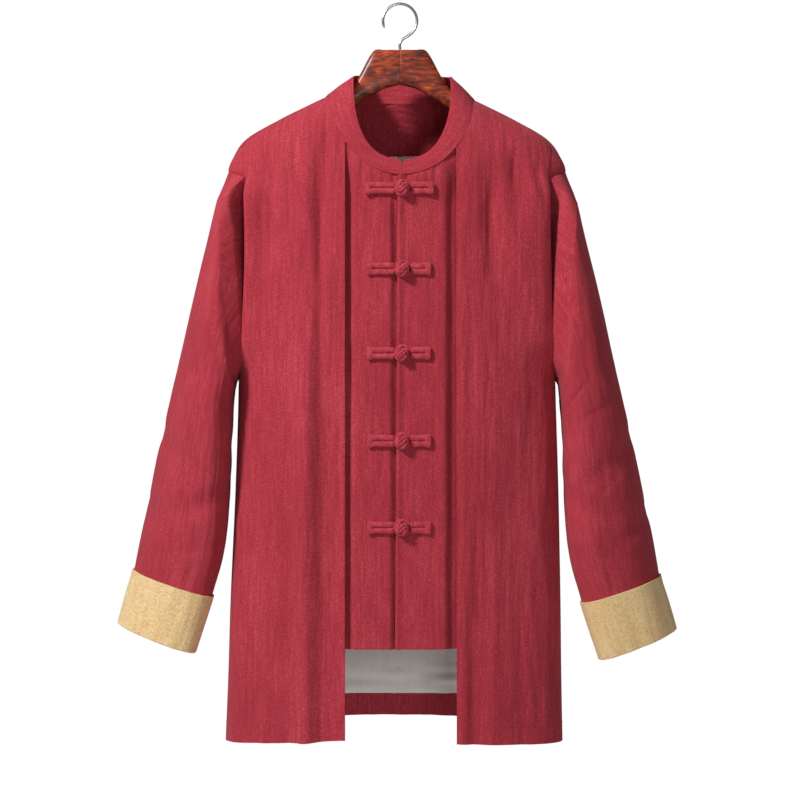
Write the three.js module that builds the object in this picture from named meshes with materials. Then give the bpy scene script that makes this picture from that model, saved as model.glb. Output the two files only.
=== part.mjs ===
// A jacket in the Chinese style, red linen and cotton, hanging on a wooden hanger.
// Millimetres, +Z up, the front faces -Y, and the origin is the inside top of the hook.
// Left and right are those of someone who looks at the front.

import * as THREE from 'three';

// Cloth thicknesses, and the gap left between pieces at a seam.
const CLOTH = 1.6;
const COLLAR_CLOTH = 2.6;
const LINING_CLOTH = 1.0;
const CUFF_CLOTH = 2.2;
const SEAM_GAP = 0.3;

// Heights of the places that the pattern is cut from, below the hook's inside top.
const NECK_SIDE_LEFT = -120;
const NECK_SIDE_RIGHT = -127;
const NECK_FRONT = -236;
const NECK_BACK = -122;
const SHOULDER_SEAM_END = -235;
const ARMHOLE_TOP = -223;
const UNDERARM = -500;
const BACK_HEM = -968;
const SIDE_HEM = -984;
const FRONT_HEM_LEFT = -970;
const FRONT_HEM_RIGHT = -975;
const INNER_HEM = -853;

// Widths.
const NECK_CENTRE = 2.5;
const NECK_HALF_WIDTH = 93.5;
const SHOULDER_SEAM_FORWARD = 18;
const LEFT_EDGE = -71.5;
const RIGHT_EDGE = 73.5;
const INNER_REACH = 90;
const INNER_REACH_AT_NECK = 84;
const INNER_SPREAD = { from: 150, to: 290 };

// Where the inner panels' closing edges lie at the neckline and at the hem.
const CLOSURE = { left: { top: 10, bottom: 8 }, right: { top: -3, bottom: -6.5 } };

// Depth of the inner panels behind the outer face, the height over which they step back to
// it below the neckline, and where the left one goes deeper under the right one.
const PANEL_DEPTH = 5.2;
const STEP_BACK = 70;
const NECK_DEPTH = 0.1;
const BEHIND_OUTER = CLOTH + SEAM_GAP + 0.9;
const OUTER_EDGE = { from: 56, to: 69 };
const LAPPED = CLOTH + 2 * SEAM_GAP;
const LAP_EDGE = { from: 6, to: 22 };

// Rows and columns of the panels.
const BACK_COLUMNS = 15;
const OUTER_COLUMNS = 15;
const INNER_COLUMNS = 10;
const INNER_ROWS = 12;

// The body's outline, from the shoulder ridge to the hem: each row is a level ring.
const BODY_RINGS = [
  { z: -100, halfWidth: 46, centre: -4.5, front: 20, back: 46, square: 2.1 },
  { z: -120, halfWidth: 87, centre: -4.5, front: 34, back: 58, square: 2.1 },
  { z: -138, halfWidth: 124, centre: -4.5, front: 48, back: 66, square: 2.1 },
  { z: -154, halfWidth: 156, centre: -4.5, front: 57, back: 71, square: 2.1 },
  { z: -181, halfWidth: 202, centre: -4.5, front: 66, back: 76, square: 2.1 },
  { z: -208, halfWidth: 221, centre: -4, front: 72, back: 79, square: 2.15 },
  { z: -225, halfWidth: 226.5, centre: -4, front: 75, back: 80, square: 2.2 },
  { z: -245, halfWidth: 223, centre: -4, front: 77, back: 81, square: 2.25 },
  { z: -300, halfWidth: 215, centre: -4, front: 81, back: 83, square: 2.35 },
  { z: -400, halfWidth: 212, centre: -4, front: 85, back: 85, square: 2.4 },
  { z: -500, halfWidth: 212, centre: -4, front: 87, back: 86, square: 2.4 },
  { z: -640, halfWidth: 216, centre: -4, front: 88, back: 87, square: 2.4 },
  { z: -800, halfWidth: 221, centre: -6, front: 89, back: 89, square: 2.45 },
  { z: -900, halfWidth: 223, centre: -7, front: 90, back: 90, square: 2.5 },
  { z: -1000, halfWidth: 226, centre: -8, front: 92, back: 90, square: 2.5 },
];

// How far the armhole's edge lies from the body's centre line, at each height.
const ARMHOLE_EDGE = [
  { z: -150, reach: 206 },
  { z: -195, reach: 206 },
  { z: -235, reach: 202 },
  { z: -300, reach: 200 },
  { z: -400, reach: 201 },
  { z: -460, reach: 205 },
  { z: -490, reach: 209.5 },
  { z: -500, reach: 212 },
];

// Places on the armhole's top, from the end of the shoulder seam over the ridge to behind.
const CAP_ROWS = [
  { turn: -1, z: -235, centreZ: -204 },
  { turn: -0.5, z: -227.5, centreZ: -213 },
  { turn: 0, z: -223, centreZ: -222 },
  { turn: 0.5, z: -227.5, centreZ: -231 },
  { turn: 1, z: -235, centreZ: -241 },
];

// A fold fades in over the first part of its length and out over the last part, and all
// folds fade out towards the shoulder ridge and the side, by their distance from them.
const FOLD_FULL = 0.3;
const FOLD_WEAKENS = 0.55;
const RIDGE_CLEAR = { from: 12, to: 45 };

// Heights at which a seam's rows meet the panels' edges.
const SHOULDER_ROWS = [0, 0.16, 0.34, 0.54, 0.76, 1];
const ARMHOLE_ROWS = [-255, -290, -330, -370, -410, -447, -480];
const SIDE_ROWS = [-535, -585, -640, -700, -760, -820, -880, -935];

// Main folds: soft troughs that run down from x at the top to x at the bottom.
const FRONT_FOLDS = [
  { top: -150, topX: -103, bottom: -390, bottomX: -97, width: 13, depth: 4.5 },
  { top: -170, topX: -141, bottom: -320, bottomX: -143, width: 12, depth: 2.5 },
  { top: -180, topX: -172, bottom: -400, bottomX: -176, width: 13, depth: 3.5 },
  { top: -500, topX: -150, bottom: -985, bottomX: -140, width: 22, depth: 3 },
  { top: -560, topX: -195, bottom: -985, bottomX: -190, width: 14, depth: 3 },
  { top: -195, topX: 153, bottom: -330, bottomX: 156, width: 13, depth: 3 },
  { top: -210, topX: 122, bottom: -430, bottomX: 126, width: 14, depth: 3 },
  { top: -520, topX: 150, bottom: -985, bottomX: 158, width: 20, depth: 3 },
  { top: -640, topX: 108, bottom: -985, bottomX: 104, width: 16, depth: 2.5 },
];
const BACK_FOLDS = [
  { top: -150, topX: -118, bottom: -420, bottomX: -126, width: 16, depth: 3.5 },
  { top: -145, topX: -42, bottom: -330, bottomX: -50, width: 14, depth: 2.5 },
  { top: -150, topX: 38, bottom: -360, bottomX: 46, width: 14, depth: 3 },
  { top: -160, topX: 122, bottom: -440, bottomX: 128, width: 16, depth: 3.5 },
  { top: -480, topX: -96, bottom: -985, bottomX: -110, width: 24, depth: 4 },
  { top: -520, topX: 10, bottom: -985, bottomX: 4, width: 22, depth: 3 },
  { top: -470, topX: 104, bottom: -985, bottomX: 120, width: 24, depth: 4 },
];

// The sleeve's rings, from the shoulder cap to the end under the cuff. Each one is given by
// its outer point and its inner point, as distances from the body's centre line, and by
// how far it stands out to the front and to the back.
const SLEEVE_RINGS = [
  { at: 1, outer: 239, outerZ: -262, inner: 214.5, innerZ: -505, front: 50, back: 50, square: 3.4 },
  { at: 2, outer: 254, outerZ: -315, inner: 215.5, innerZ: -510, front: 61, back: 62, square: 3.0 },
  { at: 3, outer: 274, outerZ: -396, inner: 216.5, innerZ: -517, front: 68, back: 70, square: 2.7 },
  { at: 4, outer: 289, outerZ: -463, inner: 217.5, innerZ: -527, front: 71, back: 74, square: 2.5 },
  { at: 5, outer: 304, outerZ: -524, inner: 218.5, innerZ: -548, front: 71, back: 75, square: 2.35 },
  { at: 6, outer: 318, outerZ: -580, inner: 219.5, innerZ: -598, front: 67, back: 71, square: 2.25 },
  { at: 7, outer: 331, outerZ: -640, inner: 222.5, innerZ: -664, front: 60, back: 64, square: 2.2 },
  { at: 8, outer: 344, outerZ: -700, inner: 229, innerZ: -729, front: 52, back: 55, square: 2.2 },
  { at: 9, outer: 355.5, outerZ: -758, inner: 246, innerZ: -790, front: 43, back: 46, square: 2.2 },
  { at: 10, outer: 375, outerZ: -830, inner: 270, innerZ: -864, front: 36, back: 38, square: 2.2 },
];
const RIGHT_SLEEVE_LONGER = 9;
const SLEEVE_CENTRE = -4;
const SLEEVE_STEPS = [1, 2, 3, 4, 5, 5.5, 6, 6.5, 7, 7.5, 8, 8.5, 9, 9.5, 10];
const ARMHOLE_GAP = 0.5;
const SLEEVE_FOLDS = [
  { at: 6.2, column: 3.3, slant: 0.14, width: 0.28, spread: 3.9, depth: 4 },
  { at: 7.1, column: 6.7, slant: -0.13, width: 0.24, spread: 3.3, depth: 3.5 },
  { at: 7.7, column: 2.2, slant: 0.11, width: 0.22, spread: 3.3, depth: 3 },
  { at: 6.4, column: 14.4, slant: 0.14, width: 0.28, spread: 3.9, depth: 4 },
  { at: 7.3, column: 16.7, slant: -0.11, width: 0.24, spread: 3.3, depth: 3.5 },
];
const CUFF_STEPS = [9, 9.5, 10];
const CUFF_LIP = 1.5;
const CUFF_GAP = 0.5;

// Stand collar: its top edge, how far that lies behind the neckline, and where its two ends
// start on the neckline.
const COLLAR_TOP = {
  centre: 3, halfWidth: 64.5, frontZ: -216, sideZ: -101.5, backZ: -81, square: 2.5,
};
const COLLAR_LEAN = { front: 7, back: 2 };
const COLLAR_START = { left: 0.0015, right: 0.0015 };
const COLLAR_STEPS = 24;
const COLLAR_GAP = 0.65;

// Lining of the back.
const LINING_TOP = -190;
const LINING_HEM = -937;
const LINING_STEPS = 12;
const LINING_COLUMNS = 9;
const LINING_MARGIN = 12;
const LINING_DEPTH = CLOTH + 4.4;

// Frog closures on the inner panels.
const FROGS = [
  { z: -255, left: -46, right: 43.5, knot: 3.5 },
  { z: -360, left: -42.8, right: 40.2, knot: 3.4 },
  { z: -469.5, left: -42.6, right: 40, knot: 3 },
  { z: -583, left: -42.4, right: 40, knot: 2.8 },
  { z: -695, left: -42.4, right: 40.2, knot: 2.6 },
];
const FROG_HALF_HEIGHT = 8.2;
const FROG_DEPTH = 4.6;
const FROG_BAND = 6;
const FROG_PROFILE = [
  { across: -1, up: 0.12 }, { across: -0.94, up: 0.6 }, { across: -0.72, up: 0.93 },
  { across: -0.45, up: 1 }, { across: -0.2, up: 0.86 }, { across: 0, up: 0.5 },
  { across: 0.2, up: 0.86 }, { across: 0.45, up: 1 }, { across: 0.72, up: 0.93 },
  { across: 0.94, up: 0.6 }, { across: 1, up: 0.12 }, { across: 0.9, up: 0 }, { across: -0.9, up: 0 },
];
const KNOT_HALF_WIDTH = 10.2;
const KNOT_HALF_HEIGHT = 11;
const KNOT_HALF_DEPTH = 6.2;

// Hanger.
const HOOK_WIRE = 3.6;
const HOOK_RADIUS = 21;
const HOOK_TIP = 205;
const HOOK_TURN = -55;
const HOOK_STEP = 20;
const WIRE_SECTIONS = 30;
const WIRE_CURVE_SEGMENTS = 4;
const HANGER_SIDES = 12;
const HANGER_SQUARE = 2.2;
const HOOK_STEM = [[3, -46.5], [0, -52], [0, -59.7]];
const HANGER_MIDDLE = [
  { x: 0.15, top: -60, bottom: -107, halfDepth: 7.5 },
  { x: 20, top: -60, bottom: -112, halfDepth: 7.5 },
  { x: 34, top: -60.5, bottom: -119, halfDepth: 7.5 },
  { x: 42, top: -71, bottom: -123.5, halfDepth: 7.5 },
  { x: 52, top: -90, bottom: -129, halfDepth: 7.5 },
  { x: 62, top: -107, bottom: -136, halfDepth: 7.5 },
  { x: 88, top: -130, bottom: -153, halfDepth: 10 },
];
const HANGER_ARM = [
  { x: 118, height: 25, halfDepth: 11.5, ease: 0 },
  { x: 150, height: 26, halfDepth: 14, ease: 0.6 },
  { x: 176, height: 26, halfDepth: 16, ease: 1.2 },
  { x: 190, height: 22, halfDepth: 15, ease: 2.2 },
  { x: 197, height: 13, halfDepth: 10, ease: 6 },
];

const RED = { color: 0xa33a48, roughness: 0.92, metalness: 0 };
const TAN = { color: 0xdcae74, roughness: 0.92, metalness: 0 };
const GREY = { color: 0xa3a6a2, roughness: 0.6, metalness: 0 };
const WOOD = { color: 0x7a3219, roughness: 0.3, metalness: 0 };
const STEEL = { color: 0xb9bcbf, roughness: 0.25, metalness: 1 };

const group = new THREE.Group();

// Smooth reading of a table at one height, with the same slope on both sides of each row.
function readTable(table, key, column, at) {
  const sign = table[1][key] > table[0][key] ? 1 : -1;
  let row = 0;
  while (row < table.length - 2 && sign * (at - table[row + 1][key]) > 0) row += 1;
  const slope = (i) => {
    const low = Math.max(i - 1, 0);
    const high = Math.min(i + 1, table.length - 1);
    return (table[high][column] - table[low][column]) / (table[high][key] - table[low][key]);
  };
  const start = table[row];
  const end = table[row + 1];
  const span = end[key] - start[key];
  const t = THREE.MathUtils.clamp((at - start[key]) / span, 0, 1);
  const t2 = t * t;
  const t3 = t2 * t;
  return (2 * t3 - 3 * t2 + 1) * start[column] + (t3 - 2 * t2 + t) * span * slope(row)
    + (3 * t2 - 2 * t3) * end[column] + (t3 - t2) * span * slope(row + 1);
}

// Sum of the folds at a place: each is a bell across and fades out at its two ends.
function foldAt(folds, x, z) {
  let sum = 0;
  for (const fold of folds) {
    const t = (z - fold.top) / (fold.bottom - fold.top);
    const open = fold.bottom > SIDE_HEM + 1;
    const fade = THREE.MathUtils.smoothstep(t, 0, FOLD_FULL)
      * (open ? 1 - THREE.MathUtils.smoothstep(t, FOLD_WEAKENS, 1) : 1);
    const centre = THREE.MathUtils.lerp(fold.topX, fold.bottomX, t);
    sum -= fold.depth * fade * Math.exp(-(((x - centre) / fold.width) ** 2));
  }
  return sum;
}

// One half of the body's level ring, from the centre of the front (0) over the side
// to the centre of the back (PI), with the length of cloth up to each angle.
const RING_STEPS = 160;
const ringCache = new Map();
function halfRing(z) {
  const key = z.toFixed(4);
  if (ringCache.has(key)) return ringCache.get(key);
  const size = {};
  for (const column of ['halfWidth', 'centre', 'front', 'back', 'square']) {
    size[column] = readTable(BODY_RINGS, 'z', column, z);
  }
  const place = (angle) => {
    const power = 2 / size.square;
    const depth = angle < Math.PI / 2 ? -size.front : size.back;
    return [
      size.halfWidth * Math.max(Math.sin(angle), 0) ** power,
      depth * Math.abs(Math.cos(angle)) ** power,
    ];
  };
  const lengths = [0];
  let last = place(0);
  for (let i = 1; i <= RING_STEPS; i += 1) {
    const next = place((Math.PI * i) / RING_STEPS);
    lengths.push(lengths[i - 1] + Math.hypot(next[0] - last[0], next[1] - last[1]));
    last = next;
  }
  const ring = { ...size, place, lengths, total: lengths[RING_STEPS] };
  ringCache.set(key, ring);
  return ring;
}

function lengthAtAngle(z, angle) {
  const { lengths } = halfRing(z);
  const step = THREE.MathUtils.clamp((angle / Math.PI) * RING_STEPS, 0, RING_STEPS - 1e-6);
  const low = Math.floor(step);
  return lengths[low] + (lengths[low + 1] - lengths[low]) * (step - low);
}

function angleAtLength(z, length) {
  const { lengths } = halfRing(z);
  let low = 0;
  let high = RING_STEPS;
  while (high - low > 1) {
    const middle = (low + high) >> 1;
    if (lengths[middle] <= length) low = middle;
    else high = middle;
  }
  const part = (length - lengths[low]) / (lengths[high] - lengths[low]);
  return (Math.PI * (low + part)) / RING_STEPS;
}

// Length of cloth from the centre of the front to a distance from the centre line,
// on the front or on the back.
function lengthAtReach(z, reach, onBack = false) {
  const ring = halfRing(z);
  const share = THREE.MathUtils.clamp(reach / ring.halfWidth, 0, 1);
  const angle = Math.asin(share ** (ring.square / 2));
  return lengthAtAngle(z, onBack ? Math.PI - angle : angle);
}

function lengthAtDepth(z, depth) {
  const ring = halfRing(z);
  const share = THREE.MathUtils.clamp(depth / ring.front, 0, 1);
  return lengthAtAngle(z, Math.acos(share ** (ring.square / 2)));
}

const sideLength = (z) => lengthAtAngle(z, Math.PI / 2);

// A point of the body's outer face. side is -1 on the left and 1 on the right.
function bodyPoint(side, length, z, folded = true) {
  const ring = halfRing(z);
  const angle = angleAtLength(z, length);
  const [reach, depth] = ring.place(angle);
  const near = ring.place(angle + 0.01);
  const far = ring.place(Math.max(angle - 0.01, 0));
  const along = new THREE.Vector2(near[0] - far[0], near[1] - far[1]).normalize();
  const x = ring.centre + side * reach;
  const out = folded ? foldAt(depth < 0 ? FRONT_FOLDS : BACK_FOLDS, x, z)
    * THREE.MathUtils.smoothstep(Math.abs(depth), RIDGE_CLEAR.from, RIDGE_CLEAR.to) : 0;
  return new THREE.Vector3(x + side * along.y * out, depth - along.x * out, z);
}

function bodyNormal(side, length, z, folded = true) {
  const step = 1.5;
  const { total } = halfRing(z);
  const from = THREE.MathUtils.clamp(length, step, total - step);
  const across = bodyPoint(side, from + step, z, folded).sub(bodyPoint(side, from - step, z, folded));
  const level = (other) => bodyPoint(side, from * (halfRing(other).total / total), other, folded);
  const down = level(z - step).sub(level(z + step));
  return down.cross(across).multiplyScalar(side).normalize();
}

// A closed wall from a grid of outer points and a grid of inner points. With around, the
// grid's last column joins its first, and otherwise strips close its two side edges.
function wall(outer, inner, around = false) {
  const rows = outer.length;
  const columns = outer[0].length;
  const positions = [];
  for (const grid of [outer, inner]) {
    for (const row of grid) {
      for (const point of row) positions.push(point.x, point.y, point.z);
    }
  }
  const at = (layer, row, column) => layer * rows * columns + row * columns + (column % columns);
  const faces = [];
  const quad = (a, b, c, d) => faces.push(a, b, c, a, c, d);
  const across = around ? columns : columns - 1;
  for (let i = 0; i < rows - 1; i += 1) {
    for (let j = 0; j < across; j += 1) {
      quad(at(0, i, j), at(0, i, j + 1), at(0, i + 1, j + 1), at(0, i + 1, j));
      quad(at(1, i, j), at(1, i + 1, j), at(1, i + 1, j + 1), at(1, i, j + 1));
    }
  }
  for (let j = 0; j < across; j += 1) {
    quad(at(0, 0, j + 1), at(0, 0, j), at(1, 0, j), at(1, 0, j + 1));
    quad(at(0, rows - 1, j), at(0, rows - 1, j + 1), at(1, rows - 1, j + 1), at(1, rows - 1, j));
  }
  if (!around) {
    const last = columns - 1;
    for (let i = 0; i < rows - 1; i += 1) {
      quad(at(0, i, 0), at(0, i + 1, 0), at(1, i + 1, 0), at(1, i, 0));
      quad(at(0, i + 1, last), at(0, i, last), at(1, i, last), at(1, i + 1, last));
    }
  }
  const geometry = new THREE.BufferGeometry();
  geometry.setAttribute('position', new THREE.Float32BufferAttribute(positions, 3));
  geometry.setIndex(faces);
  return facingOut(geometry);
}

// Turns every face round if the body's volume comes out negative.
function facingOut(geometry) {
  const index = geometry.getIndex().array;
  const corner = [new THREE.Vector3(), new THREE.Vector3(), new THREE.Vector3()];
  let volume = 0;
  for (let i = 0; i < index.length; i += 3) {
    corner.forEach((point, k) => point.fromBufferAttribute(geometry.attributes.position, index[i + k]));
    volume += corner[0].dot(corner[1].clone().cross(corner[2]));
  }
  if (volume < 0) {
    for (let i = 0; i < index.length; i += 3) [index[i + 1], index[i + 2]] = [index[i + 2], index[i + 1]];
  }
  geometry.computeVertexNormals();
  return geometry;
}

function addPiece(name, geometry, finish) {
  const mesh = new THREE.Mesh(geometry, new THREE.MeshStandardMaterial(finish));
  mesh.name = name;
  group.add(mesh);
  return mesh;
}

// Layers of a body panel: places are [length, z] pairs, and the wall runs inwards
// from one depth below the body's outer face to another.
function bodyWall(side, places, depthOf, thickness) {
  const layer = (extra) => places.map((row) => row.map(([length, z]) => {
    const depth = depthOf(length, z) + extra;
    return bodyPoint(side, length, z).addScaledVector(bodyNormal(side, length, z), -depth);
  }));
  return wall(layer(0), layer(thickness));
}

// The neckline on the front: half an ellipse in the front view, from the shoulder side
// down to the centre. turn is 0 at the centre and 1 at the side.
function frontNeck(side, turn) {
  const angle = (turn * Math.PI) / 2;
  const sideZ = side < 0 ? NECK_SIDE_LEFT : NECK_SIDE_RIGHT;
  const x = NECK_CENTRE + side * NECK_HALF_WIDTH * Math.sin(angle);
  const z = sideZ - (sideZ - NECK_FRONT) * Math.cos(angle);
  return { x, z, length: lengthAtReach(z, Math.abs(x - halfRing(z).centre)) };
}

// Root of a rising or falling function between 0 and 1.
function solve(test) {
  let low = 0;
  let high = 1;
  const start = Math.sign(test(low));
  for (let i = 0; i < 40; i += 1) {
    const middle = (low + high) / 2;
    if (Math.sign(test(middle)) === start) low = middle;
    else high = middle;
  }
  return (low + high) / 2;
}

// Edge of the front panel along the shoulder seam and the armhole.
function seamLength(z) {
  const seam = lengthAtDepth(z, SHOULDER_SEAM_FORWARD);
  const armhole = lengthAtReach(z, readTable(ARMHOLE_EDGE, 'z', 'reach', z));
  if (z > ARMHOLE_EDGE[0].z) return seam;
  if (z < SHOULDER_SEAM_END) return armhole;
  return Math.min(seam, armhole);
}

const neckSeam = {};
for (const side of [-1, 1]) {
  const turn = solve((t) => {
    const { z, length } = frontNeck(side, t);
    return length - lengthAtDepth(z, SHOULDER_SEAM_FORWARD);
  });
  neckSeam[side] = { turn, ...frontNeck(side, turn) };
}

// Heights of the front panels' rows at the seam side.
function seamRows(side) {
  const top = neckSeam[side].z;
  return [
    ...SHOULDER_ROWS.map((share) => THREE.MathUtils.lerp(top, SHOULDER_SEAM_END, share)),
    ...ARMHOLE_ROWS, UNDERARM, ...SIDE_ROWS, SIDE_HEM,
  ];
}

const frontEdgeOf = (side) => (side < 0 ? LEFT_EDGE : RIGHT_EDGE);
const edgeLength = (side, z) => lengthAtReach(z, Math.abs(frontEdgeOf(side) - halfRing(z).centre));

// Length at the seam side of the front for one height, down to the side seam.
const frontLimit = (z) => (z > UNDERARM + 0.01 ? seamLength(z) : sideLength(z));

function outerFront(side, columns) {
  const rows = seamRows(side);
  const top = rows[0];
  const span = top - SIDE_HEM;
  const tops = Array.from({ length: columns }, (_, j) => {
    const share = j / (columns - 1);
    if (j === columns - 1) return top;
    const turn = solve((t) => {
      const neck = frontNeck(side, t * neckSeam[side].turn);
      const from = edgeLength(side, neck.z);
      return (neck.length - from) / (frontLimit(neck.z) - from) - share;
    });
    return frontNeck(side, turn * neckSeam[side].turn).z;
  });
  const places = rows.map((rowZ) => tops.map((columnTop, j) => {
    const share = j / (columns - 1);
    const down = (top - rowZ) / span;
    const foot = THREE.MathUtils.lerp(side < 0 ? FRONT_HEM_LEFT : FRONT_HEM_RIGHT, SIDE_HEM, share);
    const z = columnTop + (foot - columnTop) * down;
    const from = edgeLength(side, z);
    const to = frontLimit(z) - SEAM_GAP / 2;
    return [from + (to - from) * share, z];
  }));
  return bodyWall(side, places, () => 0, CLOTH);
}

// The inner panels lie behind the outer ones and step back from them below the collar.
function innerFront(side, closing, depthAcross) {
  const columns = INNER_COLUMNS;
  const rows = INNER_ROWS;
  const closure = (z) => {
    const t = (z - NECK_FRONT) / (INNER_HEM - NECK_FRONT);
    return THREE.MathUtils.lerp(closing.top, closing.bottom, t);
  };
  const place = (share, z) => {
    const spread = THREE.MathUtils.smoothstep(-z, INNER_SPREAD.from, INNER_SPREAD.to);
    const far = THREE.MathUtils.lerp(INNER_REACH_AT_NECK, INNER_REACH, spread);
    return THREE.MathUtils.lerp(closure(z) * side, far, share);
  };
  const places = [];
  const tops = Array.from({ length: columns }, (_, j) => {
    const share = j / (columns - 1);
    const target = (t) => {
      const neck = frontNeck(side, t);
      return (neck.x * side) - place(share, neck.z);
    };
    const turn = target(0) > 0 ? 0 : solve(target);
    return frontNeck(side, turn).z - SEAM_GAP;
  });
  const topOf = (reach) => frontNeck(side, Math.asin(THREE.MathUtils.clamp(
    (reach - NECK_CENTRE * side) / NECK_HALF_WIDTH, 0, 1)) / (Math.PI / 2)).z;
  for (let i = 0; i < rows; i += 1) {
    const down = (i / (rows - 1)) ** 1.25;
    places.push(tops.map((columnTop, j) => {
      const z = columnTop + (INNER_HEM - columnTop) * down;
      return { reach: place(j / (columns - 1), z), z };
    }));
  }
  const layer = (extra) => places.map((row) => row.map(({ reach, z }) => {
    const half = reach * side < halfRing(z).centre ? -1 : 1;
    const length = lengthAtReach(z, Math.abs(reach * side - halfRing(z).centre));
    const below = THREE.MathUtils.smoothstep(topOf(reach) - z, 0, STEP_BACK);
    const depth = THREE.MathUtils.lerp(depthAcross.neck(reach), depthAcross.far(reach), below) + extra;
    return bodyPoint(half, length, z, false)
      .addScaledVector(bodyNormal(half, length, z, false), -depth);
  }));
  return wall(layer(0), layer(CLOTH));
}

const overEdge = (reach, { from, to }) => THREE.MathUtils.smoothstep(reach, from, to);
const rightDepth = {
  neck: (reach) => NECK_DEPTH + BEHIND_OUTER * overEdge(reach, OUTER_EDGE),
  far: () => PANEL_DEPTH,
};
const leftDepth = {
  neck: (reach) => rightDepth.neck(reach) + LAPPED * (1 - overEdge(reach, LAP_EDGE)),
  far: (reach) => rightDepth.far(reach) + LAPPED * (1 - overEdge(reach, LAP_EDGE)),
};

// The back's side edge: the shoulder seam, over the shoulder along the top of the armhole,
// down the armhole and down the side seam. Each step has its height at the centre back.
function backEdge(side) {
  const rows = seamRows(side);
  const edge = rows.map((z, i) => {
    const centreZ = i < SHOULDER_ROWS.length
      ? THREE.MathUtils.lerp(NECK_BACK, CAP_ROWS[0].centreZ, i / (SHOULDER_ROWS.length - 1)) : z;
    const onBack = z < SHOULDER_SEAM_END && z > UNDERARM + 0.01;
    const reach = readTable(ARMHOLE_EDGE, 'z', 'reach', z);
    const length = onBack ? lengthAtReach(z, reach, true) : frontLimit(z);
    return { length, z, centreZ: z === SIDE_HEM ? BACK_HEM : centreZ, isHem: z === SIDE_HEM };
  });
  const cap = CAP_ROWS.slice(1).map(({ turn, z, centreZ }) => ({ length: capLength(turn, z), z, centreZ }));
  edge.splice(SHOULDER_ROWS.length, 0, ...cap);
  return edge;
}

// Length of cloth to a place on the armhole's top, which runs over the shoulder from the
// end of the shoulder seam (turn -1) over the ridge (0) to the same place behind (1).
function capLength(turn, z) {
  const reach = readTable(ARMHOLE_EDGE, 'z', 'reach', SHOULDER_SEAM_END);
  const ridge = sideLength(z);
  const end = lengthAtReach(SHOULDER_SEAM_END, reach, turn > 0);
  const ridgeLow = sideLength(SHOULDER_SEAM_END);
  return ridge + (end - ridgeLow) * Math.abs(turn);
}

const EASE = 20;
const RIDGE_SPACING = 22;

// Places across one half of the back for each step of its edge. The heights settle
// from the edge's to the centre's within a few centimetres, and the third column
// runs along the shoulder ridge.
function backHalf(side, columns) {
  return backEdge(side).map(({ length, z, centreZ, isHem }) => {
    const from = length + SEAM_GAP / 2;
    const span = halfRing(centreZ).total - from;
    const place = (share) => {
      const settled = isHem ? (1 - share) ** 2 : Math.exp((-span * share) / EASE);
      const height = centreZ + (z - centreZ) * settled;
      return [from + (halfRing(height).total - from) * share, height];
    };
    const pastRidge = (share) => place(share)[0] - sideLength(place(share)[1]);
    const ridge = pastRidge(0) < -5 ? solve(pastRidge) : RIDGE_SPACING / span;
    return Array.from({ length: columns }, (_, j) => {
      if (j < 3) return place((ridge * j) / 2);
      return place(ridge + (1 - ridge) * ((j - 2) / (columns - 3)) ** 1.1);
    }).reverse();
  });
}

function backWall(columns) {
  const halves = [-1, 1].map((side) => backHalf(side, columns).map((row) => row.map(([length, z]) => {
    const point = bodyPoint(side, length, z);
    const normal = bodyNormal(side, length, z);
    return [0, CLOTH].map((depth) => point.clone().addScaledVector(normal, -depth));
  })));
  const layer = (k) => halves[0].map((row, i) => [
    ...[...row].reverse().map((pair) => pair[k]),
    ...halves[1][i].slice(1).map((pair) => pair[k]),
  ]);
  return wall(layer(0), layer(1));
}

addPiece('back', backWall(BACK_COLUMNS), RED);
addPiece('front_outer_left', outerFront(-1, OUTER_COLUMNS), RED);
addPiece('front_outer_right', outerFront(1, OUTER_COLUMNS), RED);
addPiece('front_inner_left', innerFront(-1, CLOSURE.left, leftDepth), RED);
addPiece('front_inner_right', innerFront(1, CLOSURE.right, rightDepth), RED);

// A place on the neckline: 0 at the centre of the front, 1 at the centre of the back.
const NECK_SPLIT = 0.52;
function neckPlace(side, share) {
  if (share < NECK_SPLIT) return frontNeck(side, (share / NECK_SPLIT) * neckSeam[side].turn);
  const from = neckSeam[side];
  const along = (share - NECK_SPLIT) / (1 - NECK_SPLIT);
  const span = halfRing(NECK_BACK).total - from.length;
  const z = NECK_BACK + (from.z - NECK_BACK) * Math.exp((-span * along) / EASE);
  const far = halfRing(z).total;
  return { z, length: far - (far - from.length) * (1 - along) };
}

// The collar's top edge, from the centre of the front (0) to the centre of the back (1),
// above the neckline's place at the given depth.
function collarTop(side, share, footY) {
  const angle = share * Math.PI;
  const power = 2 / COLLAR_TOP.square;
  const fore = Math.max(Math.cos(angle), 0) ** power;
  const aft = Math.max(-Math.cos(angle), 0) ** power;
  const x = COLLAR_TOP.centre + side * COLLAR_TOP.halfWidth * Math.max(Math.sin(angle), 0) ** power;
  const y = footY + THREE.MathUtils.lerp(COLLAR_LEAN.front, COLLAR_LEAN.back, share);
  const z = COLLAR_TOP.sideZ + (COLLAR_TOP.frontZ - COLLAR_TOP.sideZ) * fore
    + (COLLAR_TOP.backZ - COLLAR_TOP.sideZ) * aft;
  return new THREE.Vector3(x, y, z);
}

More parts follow.
